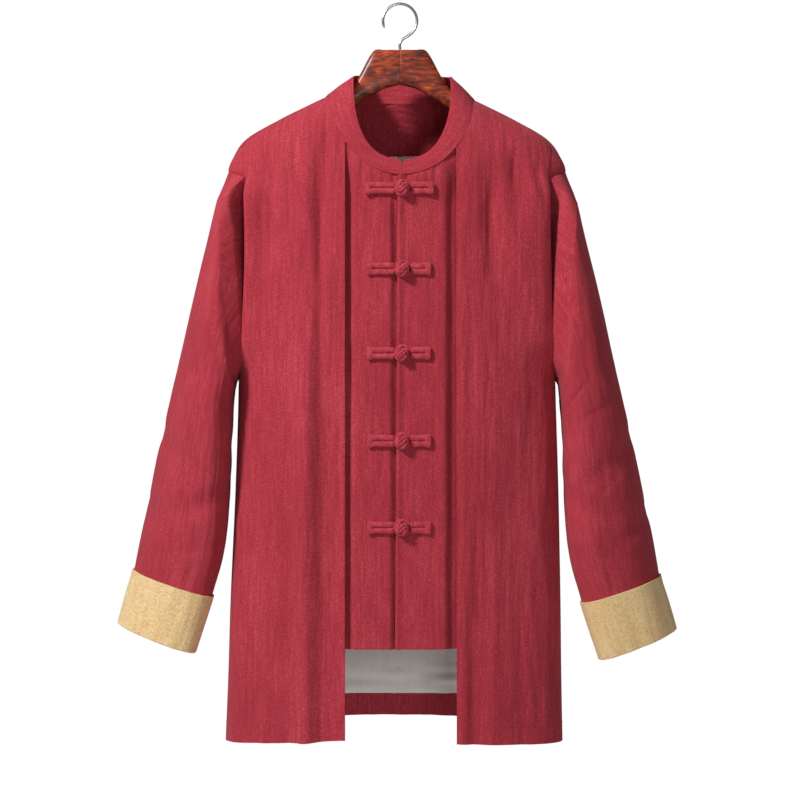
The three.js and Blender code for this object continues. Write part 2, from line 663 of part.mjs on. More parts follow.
function collarWall() {
  const ends = [...Array(COLLAR_STEPS + 1).keys()].map((i) => i / COLLAR_STEPS);
  const stations = [
    ...ends.map((t) => [-1, THREE.MathUtils.lerp(COLLAR_START.left, 1, t)]),
    ...ends.slice(0, -1).reverse().map((t) => [1, THREE.MathUtils.lerp(COLLAR_START.right, 1, t)]),
  ];
  const base = stations.map(([side, share]) => {
    const place = neckPlace(side, share);
    const half = place.x > halfRing(place.z).centre ? 1 : side;
    const point = bodyPoint(half, place.length, place.z, false);
    return {
      point,
      normal: bodyNormal(half, place.length, place.z, false),
      top: collarTop(side, share, point.y),
    };
  });
  const outer = [0, 0.35, 0.7, 1].map((up) => base.map(({ point, top }) => {
    const rise = top.clone().sub(point);
    const foot = point.clone().addScaledVector(rise.clone().normalize(), COLLAR_GAP);
    return foot.lerp(top, up);
  }));
  const inner = outer.map((row, i) => row.map((point, j) => {
    if (i === 0) return point.clone().addScaledVector(base[j].normal, -COLLAR_CLOTH);
    const near = row[Math.min(j + 1, row.length - 1)].clone().sub(row[Math.max(j - 1, 0)]);
    const rise = outer[Math.min(i + 1, 3)][j].clone().sub(outer[i - 1][j]);
    return point.clone().addScaledVector(near.cross(rise).normalize(), -COLLAR_CLOTH);
  }));
  return wall(outer, inner);
}

addPiece('collar', collarWall(), RED);

// Sleeve rings: an upright oval through the outer and the inner point. The first ring
// is the armhole's edge itself.
const SLEEVE_COLUMNS = 2 * ARMHOLE_ROWS.length + CAP_ROWS.length + 1;
function sleeveOval(side, at, column) {
  const size = {};
  for (const key of ['outer', 'outerZ', 'inner', 'innerZ', 'front', 'back', 'square']) {
    size[key] = readTable(SLEEVE_RINGS, 'at', key, at);
  }
  const angle = (2 * Math.PI * column) / SLEEVE_COLUMNS;
  const power = 2 / size.square;
  const up = Math.sign(Math.cos(angle)) * Math.abs(Math.cos(angle)) ** power;
  const fore = Math.sign(Math.sin(angle)) * Math.abs(Math.sin(angle)) ** power;
  const lower = side > 0 ? (RIGHT_SLEEVE_LONGER * at) / 10 : 0;
  const reach = THREE.MathUtils.lerp(size.inner, size.outer, (up + 1) / 2);
  const z = THREE.MathUtils.lerp(size.innerZ, size.outerZ, (up + 1) / 2) - lower;
  return new THREE.Vector3(SLEEVE_CENTRE + side * reach, -fore * (fore > 0 ? size.front : size.back), z);
}

function armholeEdge(side, column) {
  const half = SLEEVE_COLUMNS / 2;
  const onBack = column > half;
  const row = onBack ? SLEEVE_COLUMNS - column : column;
  if (row <= 2) {
    const { turn, z } = CAP_ROWS[onBack ? 2 + row : 2 - row];
    return bodyPoint(side, capLength(turn, z), z);
  }
  const z = [...ARMHOLE_ROWS, UNDERARM][row - 3];
  if (row === half) return bodyPoint(side, sideLength(z), z);
  const reach = readTable(ARMHOLE_EDGE, 'z', 'reach', z);
  return bodyPoint(side, lengthAtReach(z, reach, onBack), z);
}

// Soft folds of the sleeve: each crosses it aslant, between two columns of the rings.
function sleeveFold(at, column) {
  return SLEEVE_FOLDS.reduce((sum, fold) => {
    const turn = Math.abs(column - fold.column);
    const around = Math.min(turn, SLEEVE_COLUMNS - turn);
    const along = at - fold.at - (column - fold.column) * fold.slant;
    return sum - fold.depth * Math.exp(-((along / fold.width) ** 2) - (around / fold.spread) ** 2);
  }, 0);
}

function sleevePoint(side, at, column) {
  const point = sleeveOval(side, at, column);
  const across = sleeveOval(side, at, column + 0.1).sub(sleeveOval(side, at, column - 0.1));
  const low = Math.max(at - 0.1, 1);
  const down = sleeveOval(side, low + 0.1, column).sub(sleeveOval(side, low, column));
  const normal = across.cross(down).multiplyScalar(side).normalize();
  return { point: point.addScaledVector(normal, sleeveFold(at, column)), normal };
}

function sleeveWall(side) {
  const columns = [...Array(SLEEVE_COLUMNS).keys()];
  const rings = SLEEVE_STEPS.map((at) => columns.map((column) => sleevePoint(side, at, column)));
  const first = columns.map((column) => {
    const edge = armholeEdge(side, column);
    const next = rings[0][column].point;
    const down = next.clone().sub(edge).normalize();
    return { point: edge.addScaledVector(down, ARMHOLE_GAP), normal: null, down };
  });
  first.forEach((item, j) => {
    const last = first[(j + SLEEVE_COLUMNS - 1) % SLEEVE_COLUMNS].point;
    const across = first[(j + 1) % SLEEVE_COLUMNS].point.clone().sub(last);
    item.normal = across.cross(item.down).multiplyScalar(side).normalize();
  });
  const grid = [first, ...rings];
  const outer = grid.map((ring) => ring.map(({ point }) => point));
  const inner = grid.map((ring) => ring.map(({ point, normal }) => (
    point.clone().addScaledVector(normal, -CLOTH))));
  return wall(outer, inner, true);
}

// The cuff is the sleeve's end turned back: a second wall just outside it.
function cuffWall(side) {
  const columns = [...Array(SLEEVE_COLUMNS).keys()];
  const lip = sleeveOval(side, 10, 0).sub(sleeveOval(side, 9.9, 0)).normalize();
  const layer = (out) => CUFF_STEPS.map((at, i) => columns.map((column) => {
    const { point, normal } = sleevePoint(side, at, column);
    const last = i === CUFF_STEPS.length - 1 ? CUFF_LIP : 0;
    return point.addScaledVector(normal, out).addScaledVector(lip, last);
  }));
  return wall(layer(CUFF_GAP + CUFF_CLOTH), layer(CUFF_GAP), true);
}

for (const [side, name] of [[-1, 'left'], [1, 'right']]) {
  addPiece(`sleeve_${name}`, sleeveWall(side), RED);
  addPiece(`cuff_${name}`, cuffWall(side), TAN);
}

// The lining hangs inside the back, from below the neck to just above the back's hem.
function liningWall() {
  const rows = [...Array(LINING_STEPS + 1).keys()].map((i) => (
    THREE.MathUtils.lerp(LINING_TOP, LINING_HEM, i / LINING_STEPS)));
  const half = (side) => rows.map((z) => {
    const { total } = halfRing(z);
    const edge = z > UNDERARM - 20
      ? lengthAtReach(z, readTable(ARMHOLE_EDGE, 'z', 'reach', z), true) : sideLength(z);
    return [...Array(LINING_COLUMNS).keys()].map((j) => {
      const length = total - ((total - edge - LINING_MARGIN) * j) / (LINING_COLUMNS - 1);
      return [bodyPoint(side, length, z, false), bodyNormal(side, length, z, false)];
    });
  });
  const halves = [half(-1), half(1)];
  const layer = (depth) => rows.map((_, i) => [...[...halves[0][i]].reverse(), ...halves[1][i].slice(1)]
    .map(([point, normal]) => point.clone().addScaledVector(normal, -depth)));
  return wall(layer(LINING_DEPTH), layer(LINING_DEPTH + LINING_CLOTH));
}

addPiece('lining_back', liningWall(), GREY);

// A closed solid carried through sections that all have the same number of points.
function loft(sections) {
  const count = sections[0].length;
  const positions = sections.flat().flatMap((point) => [point.x, point.y, point.z]);
  const faces = [];
  for (let i = 0; i < sections.length - 1; i += 1) {
    for (let j = 0; j < count; j += 1) {
      const next = (j + 1) % count;
      const a = i * count + j;
      const b = i * count + next;
      faces.push(a, b, b + count, a, b + count, a + count);
    }
  }
  for (const [start, turned] of [[0, false], [(sections.length - 1) * count, true]]) {
    const middle = positions.length / 3;
    const end = sections[turned ? sections.length - 1 : 0];
    const centre = end.reduce((sum, point) => sum.add(point), new THREE.Vector3()).divideScalar(count);
    positions.push(centre.x, centre.y, centre.z);
    for (let j = 0; j < count; j += 1) {
      const pair = [start + j, start + ((j + 1) % count)];
      faces.push(middle, ...(turned ? pair : pair.reverse()));
    }
  }
  const geometry = new THREE.BufferGeometry();
  geometry.setAttribute('position', new THREE.Float32BufferAttribute(positions, 3));
  geometry.setIndex(faces);
  return facingOut(geometry);
}

// The inner panels' outer face in front of a place, which the frogs lie on.
function panelFace(x, z) {
  const half = x < halfRing(z).centre ? -1 : 1;
  const length = lengthAtReach(z, Math.abs(x - halfRing(z).centre));
  const below = THREE.MathUtils.smoothstep(NECK_FRONT - z, 0, STEP_BACK);
  const depth = THREE.MathUtils.lerp(rightDepth.neck(Math.abs(x)), rightDepth.far(Math.abs(x)), below);
  return bodyPoint(half, length, z, false).y + depth;
}

// One half of a frog: two round cords side by side, held by a band at the outer end.
function frogHalf(from, to, z) {
  const bandAt = (x) => (Math.abs(x - to) < FROG_BAND ? 1.14 : 1);
  const end = Math.sign(to - from);
  const stations = [from, THREE.MathUtils.lerp(from, to, 0.5), to - end * (FROG_BAND + 0.6),
    to - end * (FROG_BAND - 0.6), to - end * 0.8, to];
  return loft(stations.map((x, i) => {
    const size = bandAt(x) * (i === stations.length - 1 ? 0.86 : 1);
    const face = panelFace(x, z) - SEAM_GAP;
    return FROG_PROFILE.map(({ across, up }) => new THREE.Vector3(
      x, face - up * FROG_DEPTH * size, z + across * FROG_HALF_HEIGHT * size));
  }));
}

FROGS.forEach(({ z, left, right, knot }, i) => {
  const room = KNOT_HALF_WIDTH + SEAM_GAP;
  addPiece(`frog_${i + 1}_knot_half`, frogHalf(knot - room, left, z), RED);
  addPiece(`frog_${i + 1}_loop_half`, frogHalf(knot + room, right, z), RED);
  const ball = new THREE.SphereGeometry(1, 12, 8);
  ball.scale(KNOT_HALF_WIDTH, KNOT_HALF_DEPTH, KNOT_HALF_HEIGHT);
  const mesh = addPiece(`frog_${i + 1}_knot`, ball, RED);
  mesh.position.set(knot, panelFace(knot, z) - SEAM_GAP - KNOT_HALF_DEPTH, z);
});

// Underside of the cloth on the shoulder ridge, which a hanger's arm carries.
function underRidge(side, x) {
  const share = solve((t) => {
    const z = THREE.MathUtils.lerp(-110, ARMHOLE_TOP, t);
    const ring = halfRing(z);
    return ring.halfWidth - side * (side * x - ring.centre);
  });
  return THREE.MathUtils.lerp(-110, ARMHOLE_TOP, share) - CLOTH * 1.3 - SEAM_GAP;
}

function hangerArm(side) {
  const outer = HANGER_ARM.map(({ x, height, halfDepth, ease }) => {
    const top = underRidge(side, x) - ease;
    return { x, top, bottom: top - height, halfDepth };
  });
  return loft([...HANGER_MIDDLE, ...outer].map(({ x, top, bottom, halfDepth }) => (
    [...Array(HANGER_SIDES).keys()].map((i) => {
      const angle = (2 * Math.PI * (i + 0.5)) / HANGER_SIDES;
      const power = 2 / HANGER_SQUARE;
      const y = Math.sign(Math.cos(angle)) * Math.abs(Math.cos(angle)) ** power;
      const full = Math.cos(Math.PI / HANGER_SIDES) ** power;
      const up = (Math.sign(Math.sin(angle)) * Math.abs(Math.sin(angle)) ** power) / full;
      return new THREE.Vector3(side * x, halfDepth * y, (top + bottom) / 2 + (up * (top - bottom)) / 2);
    }))));
}

addPiece('hanger_arm_left', hangerArm(-1), WOOD);
addPiece('hanger_arm_right', hangerArm(1), WOOD);

// The hook: one wire, round over the rod and down into the top of the wood.
function hookWire() {
  const middle = HOOK_RADIUS + HOOK_WIRE / 2;
  const points = [];
  for (let angle = HOOK_TIP; angle >= HOOK_TURN; angle -= HOOK_STEP) {
    const turn = THREE.MathUtils.degToRad(angle);
    points.push(new THREE.Vector3(middle * Math.cos(turn), 0, -HOOK_RADIUS + middle * Math.sin(turn)));
  }
  for (const [x, z] of HOOK_STEM) points.push(new THREE.Vector3(x, 0, z));
  const section = new THREE.Shape();
  section.absarc(0, 0, HOOK_WIRE / 2, 0, 2 * Math.PI);
  return new THREE.ExtrudeGeometry(section, {
    steps: WIRE_SECTIONS,
    curveSegments: WIRE_CURVE_SEGMENTS,
    bevelEnabled: false,
    extrudePath: new THREE.CatmullRomCurve3(points),
  });
}

addPiece('hanger_hook', hookWire(), STEEL);

export default group;
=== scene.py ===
import bpy
import numpy as np
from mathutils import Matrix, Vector


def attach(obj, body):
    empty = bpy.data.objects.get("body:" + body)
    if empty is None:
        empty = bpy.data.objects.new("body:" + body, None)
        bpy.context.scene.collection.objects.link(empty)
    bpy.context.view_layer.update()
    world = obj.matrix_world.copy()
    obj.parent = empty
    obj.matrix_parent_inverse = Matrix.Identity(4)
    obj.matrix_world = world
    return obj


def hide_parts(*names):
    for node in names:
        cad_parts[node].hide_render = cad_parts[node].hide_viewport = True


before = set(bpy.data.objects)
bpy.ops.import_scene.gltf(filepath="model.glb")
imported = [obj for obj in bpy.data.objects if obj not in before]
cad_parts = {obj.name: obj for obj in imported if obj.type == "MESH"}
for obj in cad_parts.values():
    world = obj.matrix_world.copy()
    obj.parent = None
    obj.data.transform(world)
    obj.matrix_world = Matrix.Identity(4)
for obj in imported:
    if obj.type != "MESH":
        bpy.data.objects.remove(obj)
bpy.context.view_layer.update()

# The body of the jacket hangs as a soft tube of red linen from the shoulders to the hem.
# Every panel is a part of this tube: each row here is one level ring of it, in millimetres,
# and a place on it is a length of cloth from the centre of the front, and a height.
BODY_RINGS = np.array([  # height, half width, centre, front depth, back depth, squareness
    (-100, 46, -4.5, 20, 46, 2.1), (-120, 87, -4.5, 34, 58, 2.1),
    (-138, 124, -4.5, 48, 66, 2.1), (-154, 156, -4.5, 57, 71, 2.1),
    (-181, 202, -4.5, 66, 76, 2.1), (-208, 221, -4, 72, 79, 2.15),
    (-225, 226.5, -4, 75, 80, 2.2), (-245, 223, -4, 77, 81, 2.25),
    (-300, 215, -4, 81, 83, 2.35), (-400, 212, -4, 85, 85, 2.4),
    (-500, 212, -4, 87, 86, 2.4), (-640, 216, -4, 88, 87, 2.4),
    (-800, 221, -6, 89, 89, 2.45), (-900, 223, -7, 90, 90, 2.5),
    (-1000, 226, -8, 92, 90, 2.5),
])
CLOTH = 1.6
SEAM_GAP, SEWN_GAP = 0.3, 0.03


def smoothstep(low, high, value):
    """0 below low, 1 above high, and a smooth rise between them."""
    t = np.clip((value - low) / (high - low), 0, 1)
    return t * t * (3 - 2 * t)


def window(value, rise, fall):
    """0 before the rise and after the fall, 1 between them, and smooth on both."""
    return smoothstep(*rise, value) * (1 - smoothstep(*fall, value))


def lerp(start, end, share):
    """The place that lies a share of the way from start to end."""
    return start + (end - start) * share


def squared(wave, power):
    """A sine or cosine with its size raised to a power and its sign kept: two of them draw a
    superellipse."""
    return np.sign(wave) * np.abs(wave) ** power


def read_table(table, at):
    """A smooth curve through a table's rows, looked up by its first column: a cubic between
    two rows, whose slope at each row is that of the line through its neighbours."""
    rows = table[np.argsort(table[:, 0])].astype(float)
    keys = rows[:, 0]
    before = np.maximum(np.arange(len(keys)) - 1, 0)
    after = np.minimum(np.arange(len(keys)) + 1, len(keys) - 1)
    slopes = (rows[after] - rows[before]) / (keys[after] - keys[before])[:, None]
    at = np.asarray(at, float)
    low = np.clip(np.searchsorted(keys, at, side="right") - 1, 0, len(keys) - 2)
    span = (keys[low + 1] - keys[low])[..., None]
    t = np.clip((at - keys[low])[..., None] / span, 0, 1)
    value = (2 * t**3 - 3 * t**2 + 1) * rows[low] + (t**3 - 2 * t**2 + t) * span * slopes[low]
    value += (3 * t**2 - 2 * t**3) * rows[low + 1] + (t**3 - t**2) * span * slopes[low + 1]
    return value[..., 1:]


LEVELS = np.arange(-1004.0, -99.0)
TURNS = np.linspace(0, 1, 321)
SHARES = np.linspace(0, 1, 1001)


def level_rings():
    """The half rings of all levels: a superellipse by angle, from the centre of the front (0)
    to the centre of the back (1), the length of cloth up to each angle, and the reach and the
    depth again by share of that length."""
    half, _, front, back, square = read_table(BODY_RINGS, LEVELS).T[..., None]
    angle = np.pi * TURNS
    reach = half * np.clip(np.sin(angle), 0, 1) ** (2 / square)
    depth = np.where(angle < np.pi / 2, -front, back) * np.abs(np.cos(angle)) ** (2 / square)
    steps = np.hypot(np.diff(reach), np.diff(depth))
    length = np.hstack([np.zeros((len(LEVELS), 1)), np.cumsum(steps, axis=1)])
    by_share = [
        np.array([np.interp(SHARES * full[-1], full, row) for full, row in zip(length, values)])
        for values in (reach, depth)
    ]
    return length, *by_share


RING_LENGTH, RING_REACH, RING_DEPTH = level_rings()


def lookup(table, z, share):
    """Reads a table with a row for each level and columns from share 0 to share 1."""
    row = np.clip(z - LEVELS[0], 0, len(LEVELS) - 1.001)
    column = np.clip(share, 0, 1) * (table.shape[1] - 1.001)
    i, j = row.astype(int), column.astype(int)
    a, b = row - i, column - j
    upper = (1 - b) * table[i, j] + b * table[i, j + 1]
    lower = (1 - b) * table[i + 1, j] + b * table[i + 1, j + 1]
    return (1 - a) * upper + a * lower


def ring_size(z, column):
    """One column of the ring table at any height."""
    return read_table(BODY_RINGS, z)[..., column]


def total_length(z):
    """Length of cloth from the centre of the front to the centre of the back."""
    return lookup(RING_LENGTH, z, np.ones_like(z))


def side_length(z):
    """Length of cloth from the centre of the front to the side or the shoulder ridge."""
    return lookup(RING_LENGTH, z, np.full_like(z, 0.5))


def length_at_reach(z, reach, on_back=False):
    """Length of cloth to a distance from the centre line: the ring's angle is the arc sine
    of the distance's share of the half width, to half the power of its squareness."""
    share = np.clip(reach / ring_size(z, 0), 0, 1)
    turn = np.arcsin(share ** (ring_size(z, 4) / 2)) / np.pi
    return lookup(RING_LENGTH, z, np.where(on_back, 1 - turn, turn))


def length_at_depth(z, depth):
    """Length of cloth to a distance in front of the shoulder ridge."""
    share = np.clip(depth / ring_size(z, 2), 0, 1)
    return lookup(RING_LENGTH, z, np.arccos(share ** (ring_size(z, 4) / 2)) / np.pi)


# Folds: soft troughs that run down from x at the top to x at the bottom, and ridges where
# the depth is negative. The first rows are the solids' own folds, and the others are the
# creases between them.
FRONT_FOLDS = [  # top, x, bottom, x, width, depth
    (-150, -103, -390, -97, 13, 4.5), (-170, -141, -320, -143, 12, 2.5),
    (-180, -172, -400, -176, 13, 3.5), (-500, -150, -985, -140, 22, 3),
    (-560, -195, -985, -190, 14, 3), (-195, 153, -330, 156, 13, 3),
    (-210, 122, -430, 126, 14, 3), (-520, 150, -985, 158, 20, 3),
    (-640, 108, -985, 104, 16, 2.5),
    (-200, -105, -985, -102, 8, 2.8), (-230, -180, -520, -184, 15, 4.5),
    (-430, -84, -985, -84, 14, 2.0), (-360, -122, -985, -121, 16, -8),
    (-128, -98, -262, -97, 3.5, 2.2), (-190, -108, -420, -104, 6, 1.8),
    (-168, -137, -262, -139, 4, 1.5), (-190, -167, -400, -172, 5, 1.8),
    (-240, -182, -460, -181, 4, 1.1), (-300, -125, -560, -120, 7, 1.0),
    (-420, -92, -760, -96, 6, 1.2), (-560, -118, -985, -112, 9, 1.5),
    (-520, -172, -985, -166, 7, 1.4), (-700, -92, -985, -90, 8, 1.4),
    (-195, 149, -268, 150, 4, 1.4), (-232, 119, -400, 118, 6, 1.7),
    (-212, 180, -290, 183, 4, 1.6), (-330, 96, -620, 92, 7, 1.0),
    (-420, 170, -800, 176, 9, 1.4), (-560, 132, -985, 134, 8, 1.3),
    (-700, 182, -985, 190, 9, 1.6), (-760, 92, -985, 94, 7, 1.2),
]
BACK_FOLDS = [
    (-150, -118, -420, -126, 16, 3.5), (-145, -42, -330, -50, 14, 2.5),
    (-150, 38, -360, 46, 14, 3), (-160, 122, -440, 128, 16, 3.5),
    (-480, -96, -985, -110, 24, 4), (-520, 10, -985, 4, 22, 3),
    (-470, 104, -985, 120, 24, 4),
    (-165, -86, -380, -92, 5, 1.6), (-170, -150, -360, -155, 5, 1.6),
    (-150, 8, -300, 6, 5, 1.2), (-165, 84, -420, 88, 6, 1.6),
    (-180, 158, -400, 162, 5, 1.6), (-420, -60, -800, -64, 9, 1.5),
    (-560, -158, -985, -162, 9, 1.6), (-480, 56, -985, 60, 9, 1.4),
    (-600, 160, -985, 168, 10, 1.6), (-650, -30, -985, -36, 9, 1.3),
]
FOLD_OPEN_BELOW, FOLD_STRENGTH, FOLD_FULL, FOLD_WEAKENS = -980, 1.4, 0.3, 0.55
FOLDS_START, FOLDS_FULL, RIPPLES_START, RIPPLES_FULL = 12, 45, 3, 36  # in front of the ridge


def fold_sum(folds, x, z):
    """Sum of the folds at a place: each is a bell across, and fades in below its top and,
    unless it runs to the hem, out above its bottom."""
    total = np.zeros_like(x)
    for top, top_x, bottom, bottom_x, width, depth in folds:
        t = (z - top) / (bottom - top)
        fade = smoothstep(0, FOLD_FULL, t)
        if bottom > FOLD_OPEN_BELOW:
            fade = fade * (1 - smoothstep(FOLD_WEAKENS, 1, t))
        total -= depth * fade * np.exp(-(((x - lerp(top_x, bottom_x, t)) / width) ** 2))
    return FOLD_STRENGTH * total


def soft_noise(u, v, seed):
    """A smooth random field: random numbers on a lattice one unit apart, from -1 to 1,
    blended between its corners with smooth weights."""
    lattice = np.random.default_rng(seed).uniform(-1, 1, (128, 128))
    i, j = np.floor(u).astype(int), np.floor(v).astype(int)
    a, b = smoothstep(0, 1, u - i), smoothstep(0, 1, v - j)
    i, j = i % 127, j % 127
    upper = lerp(lattice[i, j], lattice[i + 1, j], a)
    lower = lerp(lattice[i, j + 1], lattice[i + 1, j + 1], a)
    return lerp(upper, lower, b)


RIPPLES = [(0.55, 17, 150, 6), (0.42, 8, 85, 6), (0.2, 4.2, 40, 0)]  # height, across, along, drift
DRIFT_ACROSS, DRIFT_ALONG = 60, 90
NOISE_SIDE, NOISE_FOOT = 900, 1200  # added to places, because the lattice of noise starts at 0


def hand_ripples(u, v, seed):
    """The small uneven ripples of washed linen that hangs: long down the cloth, narrow
    across it, in three sizes, of which the two larger ones drift sideways on their way."""
    sway = soft_noise(u / DRIFT_ACROSS, v / DRIFT_ALONG, seed + len(RIPPLES))
    return sum(height * soft_noise((u + drift * sway) / across, v / along, seed + size)
               for size, (height, across, along, drift) in enumerate(RIPPLES))


def body_point(side, length, z, folds=None, ripple=0, seed=0, lift=0):
    """A point of the body's outer face, side -1 on the left and 1 on the right. Folds,
    ripples and a lift move it along the level ring's normal. Folds and ripples fade out
    towards the shoulder ridge."""
    total = total_length(z)
    share, step = length / total, 1.5 / total
    reach, depth = lookup(RING_REACH, z, share), lookup(RING_DEPTH, z, share)
    along = lookup(RING_REACH, z, share + step) - lookup(RING_REACH, z, share - step)
    inwards = lookup(RING_DEPTH, z, share + step) - lookup(RING_DEPTH, z, share - step)
    run = np.hypot(along, inwards)
    x = ring_size(z, 1) + side * reach
    out = np.zeros_like(x) + lift
    if folds is not None:
        out += fold_sum(folds, x, z) * smoothstep(FOLDS_START, FOLDS_FULL, np.abs(depth))
    if ripple:
        ease = smoothstep(RIPPLES_START, RIPPLES_FULL, np.abs(depth))
        out += ripple * ease * hand_ripples(side * length + NOISE_SIDE, z + NOISE_FOOT, seed)
    return np.stack([x + side * inwards / run * out, depth - along / run * out, z], axis=-1)


def grid_normals(points, away, around=False):
    """Unit normals of a grid of points: the cross product of its steps down and across,
    turned to point along the vectors in away."""
    padded = np.concatenate([points[:, -1:], points, points[:, :1]], 1) if around else points
    across = np.gradient(padded, axis=1)
    if around:
        across = across[:, 1:-1]
    normal = np.cross(np.gradient(points, axis=0), across)
    normal /= np.linalg.norm(normal, axis=-1, keepdims=True) + 1e-12
    return normal * np.sign(np.mean(np.sum(normal * away, axis=-1)))


def from_axis(points):
    """Level vectors from the body's upright axis to the points."""
    return (points - np.array([-4.0, 0, 0])) * np.array([1, 1, 0])


def build_mesh(name, points, faces, material, corner_uv=None):
    """A smooth mesh from points in millimetres and arrays of faces, one array for each number
    of corners. Edges sharper than 40 degrees stay sharp."""
    corners = np.concatenate([f.ravel() for f in faces])
    sizes = np.concatenate([np.full(len(f), f.shape[1]) for f in faces])
    mesh = bpy.data.meshes.new(name)
    mesh.vertices.add(len(points))
    mesh.vertices.foreach_set("co", (np.asarray(points) / 1000).astype(np.float32).ravel())
    mesh.loops.add(len(corners))
    mesh.loops.foreach_set("vertex_index", corners.astype(np.int32))
    mesh.polygons.add(len(sizes))
    starts = np.concatenate([[0], np.cumsum(sizes)[:-1]])
    mesh.polygons.foreach_set("loop_start", starts.astype(np.int32))
    mesh.polygons.foreach_set("use_smooth", np.ones(len(sizes), bool))
    if corner_uv is not None:
        layer = mesh.uv_layers.new(name="cloth")
        layer.data.foreach_set("uv", corner_uv.astype(np.float32).ravel())
    mesh.update(calc_edges=True)
    mesh.validate()
    mesh.set_sharp_from_angle(angle=np.radians(40))
    mesh.materials.append(material)
    piece = bpy.data.objects.new(name, mesh)
    bpy.context.scene.collection.objects.link(piece)
    return piece


def inside_out(points, quads):
    """True if closed quads face inwards: the sum of the volumes below them is negative."""
    a, b, c, d = (points[quads[:, k]] for k in range(4))
    return np.sum(a * np.cross(b, c)) + np.sum(a * np.cross(c, d)) < 0


def closed_shell(name, outer, inner, uv, material, around=False):
    """A closed wall of cloth from a grid of outer points and a grid of inner points. Their
    rows are joined into one loop, and strips close the two side edges unless the columns
    run all the way round. uv is in metres of cloth, with one column more if they do."""
    loop = np.concatenate([outer, inner[::-1]])
    rows, columns = loop.shape[:2]
    wide = columns + 1 if around else columns
    index = np.arange(rows * wide).reshape(rows, wide)
    below = np.roll(index, -1, axis=0)
    quads = np.stack([index[:, :-1], index[:, 1:], below[:, 1:], below[:, :-1]], -1).reshape(-1, 4)
    if not around:
        half = rows // 2
        upper, lower = np.arange(half - 1), np.arange(1, half)
        for column, turned in ((0, False), (columns - 1, True)):
            strip = index[:, column][np.stack(
                [upper, lower, rows - 1 - lower, rows - 1 - upper], -1)]
            quads = np.concatenate([quads, strip[:, ::-1] if turned else strip])
    vertex = quads // wide * columns + quads % wide % columns
    points = loop.reshape(-1, 3)
    if inside_out(points, vertex):
        quads, vertex = quads[:, ::-1], vertex[:, ::-1]
    pattern = np.concatenate([uv, uv[::-1]]).reshape(-1, 2)[quads]
    return build_mesh(name, points, [vertex], material, pattern)


class Shade:
    """A value in a material's nodes. Sums, differences and products of it with numbers or
    other values add the Math nodes that work them out."""

    def __init__(self, tree, socket=None):
        self.tree = tree
        self.socket = socket

    def node(self, kind, settings, inputs, output=0):
        """Adds a node of one type: its settings first, then its sockets' values or links."""
        made = self.tree.nodes.new("ShaderNode" + kind)
        for key, value in settings.items():
            if key == "stops":
                ramp = made.color_ramp.elements
                for place, _ in value[1:-1]:
                    ramp.new(place)
                for stop, (place, shade) in zip(ramp, value):
                    stop.position, stop.color = place, shade
            else:
                setattr(made, key, value)
        for key, value in inputs.items():
            if isinstance(value, Shade):
                self.tree.links.new(value.socket, made.inputs[key])
            else:
                made.inputs[key].default_value = value
        return Shade(self.tree, made.outputs[output])

    def math(self, operation, *values):
        return self.node("Math", {"operation": operation}, dict(enumerate(values)))

    def __add__(self, other):
        return self.math("ADD", self, other)

    def __sub__(self, other):
        return self.math("SUBTRACT", self, other)

    def __rsub__(self, other):
        return self.math("SUBTRACT", other, self)

    def __mul__(self, other):
        return self.math("MULTIPLY", self, other)

    __radd__ = __add__
    __rmul__ = __mul__

    def blend(self, first, second):
        """The colour that lies this share of the way from the first to the second."""
        mix = {"data_type": "RGBA", "clamp_factor": True}
        return self.node("Mix", mix, {0: self, 6: first, 7: second}, output=2)

    def ramp(self, *stops):
        """The colour at this value on a ramp of places and colours."""
        return self.node("ValToRGB", {"stops": stops}, {0: self})

    def into(self, surface, socket):
        """Feeds a socket of the surface's shader."""
        self.tree.links.new(self.socket, surface.inputs[socket])


def colour(red, green, blue):
    """A screen colour from 0 to 255 as the linear colour that a shader takes."""
    value = np.array([red, green, blue]) / 255
    linear = np.where(value <= 0.04045, value / 12.92, ((value + 0.055) / 1.055) ** 2.4)
    return (*linear.tolist(), 1.0)


def new_material(name, constants):
    """A material with one Principled shader, its constants set on the shader's own sockets."""
    material = bpy.data.materials.new(name)
    material.use_nodes = True
    surface = material.node_tree.nodes["Principled BSDF"]
    for key, value in constants.items():
        surface.inputs[key].default_value = value
    return material, Shade(material.node_tree), surface


YARN_WAVES, BUMP_HEIGHT = 6300, 0.0006  # radians for a metre of cloth, and metres


